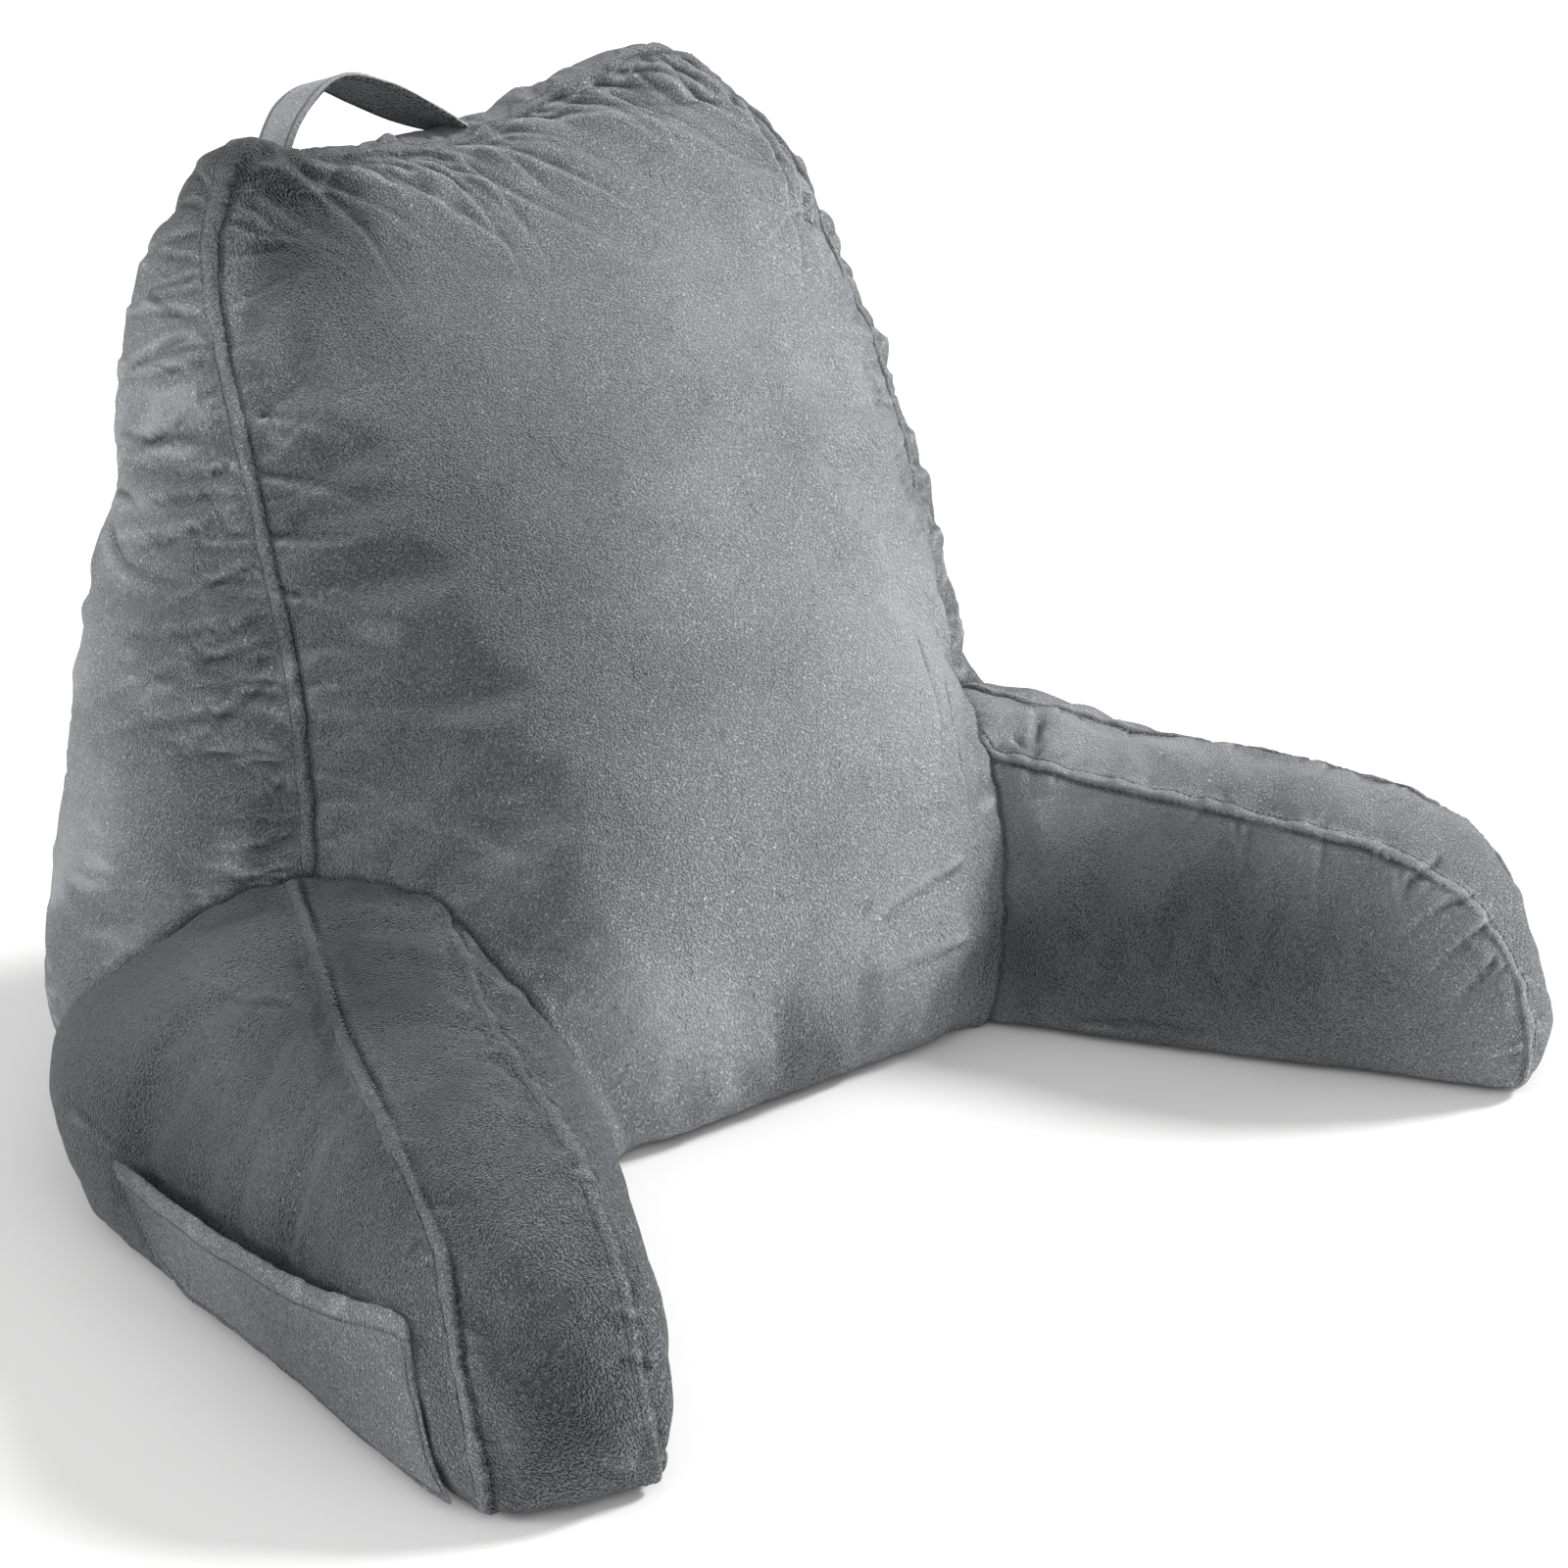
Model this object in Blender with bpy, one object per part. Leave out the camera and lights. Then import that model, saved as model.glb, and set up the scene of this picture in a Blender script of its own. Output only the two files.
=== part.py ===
"""Reading pillow: a stuffed backrest with two stuffed arms, a carry handle and a slip pocket.

Metres, +Z up. Someone who looks at the pillow from the front stands at -Y and has +X on the right.
The origin lies on the flat underside of the backrest, on its centre plane.

Each stuffed piece starts as a block whose faces are cut into a grid. Its edges are the sewn seams,
and its points are moved onto the stuffed shape that the tables of sections give.
"""
import math
from collections import namedtuple

import bmesh
import bpy
from mathutils import Matrix, Vector

HEIGHT = 0.500
SEAM_GAP = 0.0003
SEAM_BAND = 0.009
SEAM_RISE = 0.0018
BAND_STEP = 0.004
FLOOR = 0.0
NEAR = 1e-4
TINY = 1e-6
CUTTER_DROP = 0.006

COLOURS = {
    "cover_velour": (0.130, 0.137, 0.147, 1.0),
    "handle_velour": (0.150, 0.157, 0.167, 1.0),
    "pocket_velour": (0.115, 0.122, 0.132, 1.0),
}
VELOUR_ROUGHNESS = 0.9

# Backrest, section by section from the floor up. seam_x and seam_y place the seam between the front
# panel and the gusset, belly_y the middle of the front panel, side_x the fullest point of the gusset,
# back_x and back_y the seam of the back panel, spine_y the middle of the back panel.
Section = namedtuple("Section", "height seam_x seam_y belly_y side_x back_x back_y spine_y")
SECTIONS = [
    Section(0.000, 0.236, 0.010, -0.078, 0.292, 0.240, 0.206, 0.232),
    Section(0.015, 0.240, 0.014, -0.086, 0.310, 0.252, 0.220, 0.252),
    Section(0.050, 0.236, 0.024, -0.087, 0.319, 0.259, 0.231, 0.270),
    Section(0.100, 0.227, 0.042, -0.083, 0.315, 0.256, 0.238, 0.281),
    Section(0.150, 0.215, 0.059, -0.066, 0.301, 0.248, 0.243, 0.287),
    Section(0.200, 0.211, 0.067, -0.041, 0.287, 0.238, 0.246, 0.288),
    Section(0.250, 0.209, 0.077, -0.009, 0.273, 0.227, 0.248, 0.287),
    Section(0.300, 0.208, 0.095, 0.026, 0.259, 0.216, 0.248, 0.284),
    Section(0.350, 0.205, 0.117, 0.062, 0.247, 0.206, 0.246, 0.280),
    Section(0.400, 0.199, 0.146, 0.102, 0.234, 0.196, 0.244, 0.274),
    Section(0.440, 0.191, 0.167, 0.136, 0.218, 0.186, 0.241, 0.266),
    Section(0.470, 0.178, 0.176, 0.159, 0.198, 0.173, 0.238, 0.256),
    Section(0.500, 0.157, 0.180, 0.180, 0.168, 0.156, 0.232, 0.236),
]

# Outline of the top, from the pointed ear at the left over the dip to the fuller ear at the right.
Top = namedtuple("Top", "across front_z back_z")
TOPS = [
    Top(0.00, 0.497, 0.462),
    Top(0.06, 0.490, 0.466),
    Top(0.14, 0.488, 0.467),
    Top(0.26, 0.487, 0.467),
    Top(0.38, 0.486, 0.467),
    Top(0.48, 0.493, 0.471),
    Top(0.62, 0.508, 0.480),
    Top(0.71, 0.515, 0.487),
    Top(0.81, 0.523, 0.492),
    Top(0.91, 0.520, 0.488),
    Top(1.00, 0.499, 0.466),
]
TOP_BULGE = 0.010
FRONT_FULLNESS = 4.0
BACK_FULLNESS = 3.0
GUSSET_FULLNESS = 2.4

BACKREST_COLUMNS = 26
BACKREST_ROWS = 26
GUSSET_COLUMNS = 5

# Grid cuts beside a seam or the floor, as shares of the block's side: a seam's raised band ends at the
# first of two places, and the cloth is back on the smooth form at the second.
GUSSET_BAND_CUTS = (0.10, 0.15)
BACKREST_FOOT_CUTS = (0.012, 0.03)
ARM_TOP_BAND_CUTS = (0.12, 0.17)
ARM_SIDE_BAND_CUTS = (0.935, 0.90)
ARM_TIP_BAND_CUTS = (0.972, 0.955)
ARM_FOOT_CUT = 0.05

# Right arm, station by station from its root inside the backrest to its tip. The band over the top
# lies between the inner and the outer seam, and the side panels run from those seams to the floor.
# in_full and out_full are how far the side panels swell past the straight line from seam to floor.
Station = namedtuple("Station", "along in_x in_y rise_in_x rise_in_y rise_in_z "
                                "rise_out_x rise_out_y rise_out_z out_x out_y in_full out_full")
STATIONS = [
    Station(0.00, 0.120, 0.030, 0.158, 0.040, 0.140, 0.218, 0.085, 0.145, 0.236, 0.160, 0.010, 0.030),
    Station(0.12, 0.130, -0.028, 0.176, 0.002, 0.138, 0.233, 0.047, 0.146, 0.322, 0.118, 0.012, 0.044),
    Station(0.24, 0.137, -0.080, 0.191, -0.036, 0.132, 0.251, 0.008, 0.145, 0.367, 0.036, 0.014, 0.042),
    Station(0.38, 0.162, -0.126, 0.210, -0.078, 0.130, 0.272, -0.038, 0.140, 0.370, -0.036, 0.015, 0.032),
    Station(0.52, 0.190, -0.172, 0.228, -0.122, 0.128, 0.295, -0.090, 0.138, 0.365, -0.100, 0.015, 0.026),
    Station(0.66, 0.219, -0.218, 0.245, -0.170, 0.126, 0.315, -0.140, 0.138, 0.364, -0.160, 0.014, 0.022),
    Station(0.80, 0.250, -0.264, 0.261, -0.220, 0.124, 0.332, -0.189, 0.134, 0.364, -0.218, 0.012, 0.018),
    Station(0.91, 0.273, -0.302, 0.274, -0.260, 0.118, 0.343, -0.228, 0.122, 0.362, -0.266, 0.009, 0.013),
    Station(1.00, 0.288, -0.326, 0.283, -0.290, 0.103, 0.349, -0.258, 0.101, 0.356, -0.296, 0.005, 0.006),
]
# The left arm's tip is pulled a little further out and forwards than the right one's.
TIP_PULL = {"arm_left": Vector((0.006, -0.010, 0)), "arm_right": Vector((0, 0, 0))}
PULL_START = 0.6
PULL_FADE = 0.6
ARM_BAND_CROWN = 0.005
ARM_FULLNESS = 2.4
ARM_BELLY = 0.8
ARM_TIP_START = 0.8
ARM_TIP_ROUND_INNER = 0.018
ARM_TIP_ROUND_OUTER = 0.006
ARM_TIP_CROWN = 0.009
ARM_COLUMNS = 4
ARM_ROWS = 6
ARM_STATIONS = 17

# Carry handle: the strap's middle line in the plane of the loop, from its steep foot to its long slope.
HANDLE_ROUTE = [(-0.134, 0.470), (-0.127, 0.491), (-0.113, 0.512), (-0.090, 0.524), (-0.064, 0.516),
                (-0.036, 0.502), (-0.011, 0.489), (0.012, 0.476)]
HANDLE_Y = 0.209
HANDLE_WIDTH = 0.032
HANDLE_THICKNESS = 0.003
HANDLE_STEPS = 26

# Slip pocket on the outer side of the left arm, as fractions of the arm's length and of its height.
# slack is how far the cloth stands off the arm at the mouth.
Edge = namedtuple("Edge", "across bottom_along top_along top_up slack")
POCKET_EDGES = [
    Edge(0.00, 0.450, 0.320, 0.240, 0.0000),
    Edge(0.20, 0.550, 0.450, 0.305, 0.0090),
    Edge(0.45, 0.670, 0.590, 0.370, 0.0120),
    Edge(0.75, 0.820, 0.785, 0.490, 0.0075),
    Edge(1.00, 0.945, 0.925, 0.650, 0.0000),
]
POCKET_BOTTOM_UP = 0.03
POCKET_THICKNESS = 0.0020
POCKET_OFF = 0.0006
POCKET_COLUMNS = 20
POCKET_ROWS = 7
HEM_SHARE = 0.20
HEM_STEP = 0.03
HEM_RISE = 0.0012

# Main folds: soft troughs from one place to another on a piece's surface, with their width and depth.
Fold = namedtuple("Fold", "x1 y1 z1 x2 y2 z2 width depth")
BACKREST_FOLDS = [
    Fold(-0.060, 0.176, 0.488, 0.000, 0.110, 0.420, 0.017, 0.006),
    Fold(-0.020, 0.178, 0.490, 0.050, 0.115, 0.425, 0.017, 0.006),
    Fold(0.022, 0.180, 0.505, 0.098, 0.135, 0.445, 0.017, 0.006),
    Fold(0.062, 0.182, 0.514, 0.130, 0.150, 0.470, 0.016, 0.005),
    Fold(-0.145, 0.176, 0.468, -0.075, 0.120, 0.430, 0.022, 0.007),
    Fold(0.150, 0.178, 0.490, 0.085, 0.120, 0.435, 0.018, 0.005),
    Fold(-0.176, 0.185, 0.463, -0.186, 0.215, 0.458, 0.017, 0.007),
    Fold(-0.232, 0.110, 0.300, -0.262, 0.190, 0.278, 0.018, 0.008),
    Fold(0.232, 0.110, 0.316, 0.258, 0.190, 0.300, 0.018, 0.007),
    Fold(-0.218, 0.150, 0.415, -0.232, 0.205, 0.402, 0.017, 0.006),
    Fold(0.218, 0.150, 0.400, 0.234, 0.205, 0.386, 0.017, 0.006),
]
ARM_FOLDS = {
    "arm_left": [
        Fold(-0.205, -0.060, 0.128, -0.262, -0.035, 0.146, 0.016, 0.006),
        Fold(-0.292, -0.318, 0.085, -0.262, -0.262, 0.050, 0.015, 0.006),
        Fold(-0.300, 0.020, 0.150, -0.360, 0.020, 0.080, 0.020, 0.006),
    ],
    "arm_right": [
        Fold(0.172, -0.085, 0.070, 0.205, -0.045, 0.135, 0.015, 0.008),
        Fold(0.205, -0.045, 0.135, 0.262, -0.010, 0.150, 0.015, 0.007),
        Fold(0.287, -0.296, 0.104, 0.235, -0.225, 0.060, 0.015, 0.006),
        Fold(0.292, -0.316, 0.072, 0.250, -0.255, 0.030, 0.015, 0.005),
    ],
}

# Puckers that a seam draws into the cloth beside it.
PUCKER_PITCH = 0.046
PUCKER_DEPTH = 0.0035
PUCKER_REACH = 0.050


def along_rows(rows, column, at):
    """The value of a column at a place in a table's first column, on one smooth curve through the rows."""
    places = [row[0] for row in rows]
    values = [getattr(row, column) for row in rows]
    last = len(rows) - 1
    if at <= places[0]:
        return values[0]
    if at >= places[last]:
        return values[last]
    index = max(i for i in range(last) if places[i] <= at)

    def slope(i):
        low, high = max(i - 1, 0), min(i + 1, last)
        return (values[high] - values[low]) / (places[high] - places[low])

    span = places[index + 1] - places[index]
    t = (at - places[index]) / span
    start, end = values[index], values[index + 1]
    return (start * (2 * t**3 - 3 * t**2 + 1) + end * (3 * t**2 - 2 * t**3)
            + span * (slope(index) * (t**3 - 2 * t**2 + t) + slope(index + 1) * (t**3 - t**2)))


def mix(a, b, share):
    return a + (b - a) * share


def swell(share, power=2.0):
    """Fullness between two seams: 0 at both, 1 in the middle."""
    return 1 - abs(2 * share - 1) ** power


def ease(value, low, high):
    """0 below low, 1 above high, and a smooth step between them."""
    t = min(max((value - low) / (high - low), 0.0), 1.0)
    return t * t * (3 - 2 * t)


def even_cuts(count, low=0.0, high=1.0):
    """Places that part the stretch from low to high into count equal pieces, without its ends."""
    return [low + (high - low) * i / count for i in range(1, count)]


def block(cuts_u, cuts_v, cuts_w):
    """A closed unit block whose faces are cut into a grid at fractions of its three sides."""
    grid = bmesh.new()
    bmesh.ops.create_cube(grid, size=1.0, matrix=Matrix.Translation((0.5, 0.5, 0.5)))
    for axis, cuts in enumerate((cuts_u, cuts_v, cuts_w)):
        normal = Vector((0, 0, 0))
        normal[axis] = 1.0
        for cut in cuts:
            everything = grid.verts[:] + grid.edges[:] + grid.faces[:]
            bmesh.ops.bisect_plane(grid, geom=everything, plane_co=normal * cut, plane_no=normal, dist=TINY)
    return grid


def flatten_underside(grid):
    """Makes the faces that lie on the floor one face, so that the piece rests on a plain flat base."""
    resting = [face for face in grid.faces if all(abs(v.co.z - FLOOR) < TINY for v in face.verts)]
    bmesh.ops.dissolve_faces(grid, faces=resting, use_verts=False)


def fold_depth(place, folds):
    """How far the folds draw a point of the cloth in."""
    depth = 0.0
    for fold in folds:
        start = Vector((fold.x1, fold.y1, fold.z1))
        run = Vector((fold.x2, fold.y2, fold.z2)) - start
        share = (place - start).dot(run) / run.length_squared
        share = min(max(share, 0.0), 1.0)
        away = (place - start - run * share).length / fold.width
        taper = 1 - 0.6 * share
        depth += fold.depth * taper * (1.35 * math.exp(-away * away) - 0.35 * math.exp(-away * away / 4))
    return depth


def work_surface(grid, band, drawn_in):
    """Raises the seam bands and draws the folds in, both along the smooth form's own normals."""
    grid.normal_update()
    moves = []
    for vertex in grid.verts:
        if vertex.co.z > FLOOR + TINY:
            out = SEAM_RISE * band.get(vertex, 0) - drawn_in(vertex.co)
            moves.append((vertex, vertex.normal * out))
    for vertex, move in moves:
        vertex.co += move
        vertex.co.z = max(vertex.co.z, FLOOR)


def velour(name):
    material = bpy.data.materials.get(name) or bpy.data.materials.new(name)
    material.use_nodes = True
    shader = material.node_tree.nodes["Principled BSDF"]
    shader.inputs["Base Color"].default_value = COLOURS[name]
    shader.inputs["Roughness"].default_value = VELOUR_ROUGHNESS
    shader.inputs["Metallic"].default_value = 0.0
    return material


def finish(name, grid, cloth, collection):
    """Turns the grid, cut into flat triangles, into a named object in the pillow's collection."""
    bmesh.ops.triangulate(grid, faces=grid.faces[:])
    mesh = bpy.data.meshes.new(name)
    grid.to_mesh(mesh)
    grid.free()
    mesh.shade_smooth()
    piece = bpy.data.objects.new(name, mesh)
    piece.data.materials.append(velour(cloth))
    collection.objects.link(piece)
    return piece


def backrest_depth(share, thickness):
    """Fraction of the gusset's depth at a grid share, with a seam band of true width at both seams."""
    if share > 0.5:
        return 1 - backrest_depth(1 - share, thickness)
    band_cut, step_cut = GUSSET_BAND_CUTS
    band = SEAM_BAND / thickness
    step = band + BAND_STEP / thickness
    if share <= band_cut:
        return band * share / band_cut
    if share <= step_cut:
        return mix(band, step, (share - band_cut) / (step_cut - band_cut))
    return mix(step, 0.5, (share - step_cut) / (0.5 - step_cut))


def backrest_point(u, v, w):
    """A point of the backrest: u from left to right, v from front to back, w from the floor up."""
    level = w * HEIGHT
    side = 2 * u - 1
    seam_x = along_rows(SECTIONS, "seam_x", level)
    seam_y = along_rows(SECTIONS, "seam_y", level)
    belly_y = along_rows(SECTIONS, "belly_y", level)
    side_x = along_rows(SECTIONS, "side_x", level)
    back_x = along_rows(SECTIONS, "back_x", level)
    back_y = along_rows(SECTIONS, "back_y", level)
    spine_y = along_rows(SECTIONS, "spine_y", level)
    depth = backrest_depth(v, back_y - seam_y)
    front_y = mix(seam_y, belly_y, 1 - abs(side) ** FRONT_FULLNESS)
    rear_y = mix(back_y, spine_y, 1 - abs(side) ** BACK_FULLNESS)
    bulge = (side_x - (seam_x + back_x) / 2) * swell(depth, GUSSET_FULLNESS)
    x = side * (mix(seam_x, back_x, depth) + bulge * side * side)
    y = mix(front_y, rear_y, depth)
    front_z = w * along_rows(TOPS, "front_z", u)
    back_z = w * along_rows(TOPS, "back_z", u)
    z = mix(front_z, back_z, depth) + TOP_BULGE * swell(depth) * ease(w, 0.9, 1.0) * swell(u, 6)
    return Vector((x, y, z))


def backrest_pucker(place):
    """Puckers beside the two side seams, in step with the height but never quite even."""
    seam_x = along_rows(SECTIONS, "seam_x", place.z)
    seam_y = along_rows(SECTIONS, "seam_y", place.z)
    away = math.hypot(abs(place.x) - seam_x, place.y - seam_y)
    if away < SEAM_BAND * 0.5:
        return 0.0
    phase = place.z / PUCKER_PITCH * math.tau + (0.9 if place.x > 0 else 0.0)
    wave = math.sin(phase) + 0.45 * math.sin(phase * 1.61 + 1.0)
    reach = ease(away, 0.0, 0.02) * math.exp(-((away / PUCKER_REACH) ** 2))
    fade = ease(place.z, 0.16, 0.22) * (1 - ease(place.z, 0.46, 0.49))
    return PUCKER_DEPTH * wave * reach * fade


def make_backrest(collection):
    across = even_cuts(BACKREST_COLUMNS)
    band_cut, step_cut = GUSSET_BAND_CUTS
    middle = even_cuts(GUSSET_COLUMNS, step_cut, 1 - step_cut)
    deep = [band_cut, step_cut] + middle + [1 - step_cut, 1 - band_cut]
    up = list(BACKREST_FOOT_CUTS) + even_cuts(BACKREST_ROWS, BACKREST_FOOT_CUTS[1], 1.0)
    grid = block(across, deep, up)
    band = {}
    for vertex in grid.verts:
        u, v, w = vertex.co
        on_gusset = u < NEAR or u > 1 - NEAR or w > 1 - NEAR
        band[vertex] = on_gusset and min(v, 1 - v) < band_cut + NEAR
        vertex.co = backrest_point(u, v, w)
    work_surface(grid, band, lambda place: fold_depth(place, BACKREST_FOLDS) + backrest_pucker(place))
    flatten_underside(grid)
    return finish("backrest", grid, "cover_velour", collection)


def arm_rails(along):
    """The four long lines of the right arm at a station: inner floor and seam, outer seam and floor."""
    at = {name: along_rows(STATIONS, name, along) for name in Station._fields[1:]}
    inner_floor = Vector((at["in_x"], at["in_y"], FLOOR))
    inner_seam = Vector((at["rise_in_x"], at["rise_in_y"], at["rise_in_z"]))
    outer_seam = Vector((at["rise_out_x"], at["rise_out_y"], at["rise_out_z"]))
    outer_floor = Vector((at["out_x"], at["out_y"], FLOOR))
    return inner_floor, inner_seam, outer_seam, outer_floor


def arm_point(t, s, w, pull):
    """A point of an arm at the right: t from inner to outer side, s from root to tip, w from the floor up."""
    inner_floor, inner_seam, outer_seam, outer_floor = arm_rails(s)
    inner = inner_floor.lerp(inner_seam, w)
    outer = outer_floor.lerp(outer_seam, w)
    point = inner.lerp(outer, t)
    across = outer_floor.lerp(outer_seam, 0.5) - inner_floor.lerp(inner_seam, 0.5)
    across = Vector((across.x, across.y, 0)).normalized()
    forward = Vector((across.y, -across.x, 0))
    off_inner = forward.cross(inner_seam - inner_floor).normalized()
    off_outer = (outer_seam - outer_floor).cross(forward).normalized()
    fullness = swell(w ** ARM_BELLY, ARM_FULLNESS)
    point += off_inner * along_rows(STATIONS, "in_full", s) * fullness * (1 - t)
    point += off_outer * along_rows(STATIONS, "out_full", s) * fullness * t
    point.z += ARM_BAND_CROWN * swell(t) * w
    near_tip = ease(s, ARM_TIP_START, 1.0)
    tip_round = mix(ARM_TIP_ROUND_INNER, ARM_TIP_ROUND_OUTER, t)
    point += forward * near_tip * fullness * tip_round
    point += forward * near_tip * swell(t) * ARM_TIP_CROWN * (0.5 + 0.5 * swell(w))
    return point + pull * ease(s, PULL_START, 1.0) * t * (1 - PULL_FADE * w)


def arm_grid(pull):
    """An arm at the right with its root still uncut, and which of its points the seam bands hold."""
    top_band, top_step = ARM_TOP_BAND_CUTS
    side_band, side_step = ARM_SIDE_BAND_CUTS
    tip_band, tip_step = ARM_TIP_BAND_CUTS
    across = [top_band, top_step] + even_cuts(ARM_COLUMNS, top_step, 1.0)
    lengthwise = even_cuts(ARM_STATIONS, 0.0, tip_step) + [tip_step, tip_band]
    up = [ARM_FOOT_CUT] + even_cuts(ARM_ROWS, ARM_FOOT_CUT, side_step) + [side_step, side_band]
    grid = block(across, lengthwise, up)
    band = {}
    for vertex in grid.verts:
        t, s, w = vertex.co
        on_top = w > 1 - NEAR or s > 1 - NEAR
        on_outer_side = t > 1 - NEAR
        inner_band = on_top and t < top_band + NEAR
        outer_band = on_outer_side and (w > side_band - NEAR or s > tip_band - NEAR)
        band[vertex] = inner_band or outer_band
        vertex.co = arm_point(t, s, w, pull)
    return grid, band


def inflated(piece, gap, cutters):
    """A copy of a piece grown by the gap, as a cutter that leaves that gap."""
    grid = bmesh.new()
    grid.from_mesh(piece.data)
    grid.normal_update()
    moves = [(v, v.normal * v.calc_shell_factor() * gap) for v in grid.verts]
    for vertex, move in moves:
        vertex.co += move
    for vertex in grid.verts:
        if abs(vertex.co.z - FLOOR) < 2 * gap:
            vertex.co.z = FLOOR - CUTTER_DROP
    mesh = bpy.data.meshes.new(piece.name + "_grown")
    grid.to_mesh(mesh)
    grid.free()
    cutter = bpy.data.objects.new(mesh.name, mesh)
    cutters.objects.link(cutter)
    cutter.hide_render = True
    cutter.display_type = "WIRE"
    return cutter


def cut_by(piece, cutter):
    cut = piece.modifiers.new("fitted to " + cutter.name, "BOOLEAN")
    cut.operation = "DIFFERENCE"
    cut.solver = "EXACT"
    cut.object = cutter


def make_arm(name, mirrored, cutter, collection):
    grid, band = arm_grid(TIP_PULL[name])
    if mirrored:
        bmesh.ops.scale(grid, vec=(-1, 1, 1), verts=grid.verts)
        bmesh.ops.reverse_faces(grid, faces=grid.faces)
    work_surface(grid, band, lambda place: fold_depth(place, ARM_FOLDS[name]))
    flatten_underside(grid)
    arm = finish(name, grid, "cover_velour", collection)
    cut_by(arm, cutter)
    return arm


def handle_route(share):
    """A point on the smooth curve through the handle's route."""
    last = len(HANDLE_ROUTE) - 1
    index = min(int(share * last), last - 1)
    t = share * last - index
    points = [Vector(HANDLE_ROUTE[min(max(index + k, 0), last)]) for k in (-1, 0, 1, 2)]
    return 0.5 * (2 * points[1] + (points[2] - points[0]) * t
                  + (2 * points[0] - 5 * points[1] + 4 * points[2] - points[3]) * t**2
                  + (3 * points[1] - points[0] - 3 * points[2] + points[3]) * t**3)


def make_handle(cutter, collection):
    """A flat strap that rises from the top gusset in a loop and is sewn in at both feet."""
    grid = block([0.5], even_cuts(HANDLE_STEPS), [])
    for vertex in grid.verts:
        u, v, w = vertex.co
        here = handle_route(v)
        run = (handle_route(min(v + 0.01, 1.0)) - handle_route(max(v - 0.01, 0.0))).normalized()
        off = (w - 0.5) * HANDLE_THICKNESS
        vertex.co = (here.x - run.y * off, HANDLE_Y + (0.5 - u) * HANDLE_WIDTH, here.y + run.x * off)
    handle = finish("carry_handle", grid, "handle_velour", collection)
    cut_by(handle, cutter)
    return handle


def pocket_place(across, up):
    """Where the pocket's inner face lies on the left arm's outer side."""
    bottom = along_rows(POCKET_EDGES, "bottom_along", across)
    top = along_rows(POCKET_EDGES, "top_along", across)
    high = along_rows(POCKET_EDGES, "top_up", across)
    slack = along_rows(POCKET_EDGES, "slack", across)
    s = mix(bottom, top, up)
    w = mix(POCKET_BOTTOM_UP, high, up)
    pull = TIP_PULL["arm_left"]
    here = arm_point(1.0, s, w, pull)
    ahead = arm_point(1.0, s + 0.01, w, pull) - here
    above = arm_point(1.0, s, w + 0.01, pull) - here
    out = above.cross(ahead).normalized()
    stand = POCKET_OFF + slack * ease(up, 0.1, 1.0)
    place = here + out * stand
    out.x = -out.x
    return Vector((-place.x, place.y, place.z)), out


def make_pocket(cutter, collection):
    """One sheet with a hem along its mouth, sewn to the arm along its ends and its lower edge."""
    hem_start = 1 - HEM_SHARE
    hem_full = hem_start + HEM_STEP
    up = even_cuts(POCKET_ROWS, 0.0, hem_start) + [hem_start, hem_full] + even_cuts(2, hem_full, 1.0)
    grid = block(even_cuts(POCKET_COLUMNS), [], up)
    for vertex in grid.verts:
        u, v, w = vertex.co
        place, out = pocket_place(u, w)
        thickness = POCKET_THICKNESS + HEM_RISE * ease(w, hem_start, hem_full)
        vertex.co = place + out * thickness * (1 - v)
    bmesh.ops.recalc_face_normals(grid, faces=grid.faces)
    pocket = finish("side_pocket", grid, "pocket_velour", collection)
    cut_by(pocket, cutter)
    return pocket


def new_collection(name):
    collection = bpy.data.collections.new(name)
    bpy.context.scene.collection.children.link(collection)
    return collection


def main():
    for old in list(bpy.data.objects):
        bpy.data.objects.remove(old, do_unlink=True)
    pillow = new_collection("reading_pillow")
    cutters = new_collection("cutters")
    backrest = make_backrest(pillow)
    backrest_cutter = inflated(backrest, SEAM_GAP, cutters)
    make_arm("arm_left", True, backrest_cutter, pillow)
    make_arm("arm_right", False, backrest_cutter, pillow)
    make_handle(backrest_cutter, pillow)
    make_pocket(backrest_cutter, pillow)


main()
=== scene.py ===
"""Dresses the reading pillow: stuffed velour covers, felled seams, stitches, folds, a handle and a pocket."""
import math
from collections import namedtuple

import bmesh
import bpy
import numpy as np
from bpy.props import FloatProperty, FloatVectorProperty, IntProperty, PointerProperty, StringProperty
from mathutils import Matrix, Vector, noise
from mathutils.bvhtree import BVHTree
from mathutils.kdtree import KDTree


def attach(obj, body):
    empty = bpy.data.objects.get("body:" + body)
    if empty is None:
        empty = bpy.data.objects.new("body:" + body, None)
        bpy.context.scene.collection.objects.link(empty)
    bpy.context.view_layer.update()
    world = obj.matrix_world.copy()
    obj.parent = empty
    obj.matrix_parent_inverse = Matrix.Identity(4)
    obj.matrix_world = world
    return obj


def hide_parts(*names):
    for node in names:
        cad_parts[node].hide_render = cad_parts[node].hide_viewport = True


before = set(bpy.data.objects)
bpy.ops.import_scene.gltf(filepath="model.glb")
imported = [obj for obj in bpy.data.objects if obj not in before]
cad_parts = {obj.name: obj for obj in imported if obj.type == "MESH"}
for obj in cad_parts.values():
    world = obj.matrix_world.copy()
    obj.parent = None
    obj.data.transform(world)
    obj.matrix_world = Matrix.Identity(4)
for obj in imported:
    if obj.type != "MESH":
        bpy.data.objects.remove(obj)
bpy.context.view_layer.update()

bl_info = {
    "name": "Reading Pillow",
    "version": (1, 0, 0),
    "blender": (4, 5, 0),
    "location": "View3D > Sidebar > Reading Pillow",
    "description": "Dresses a stuffed reading pillow in grey velour",
    "category": "Object",
}

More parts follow.
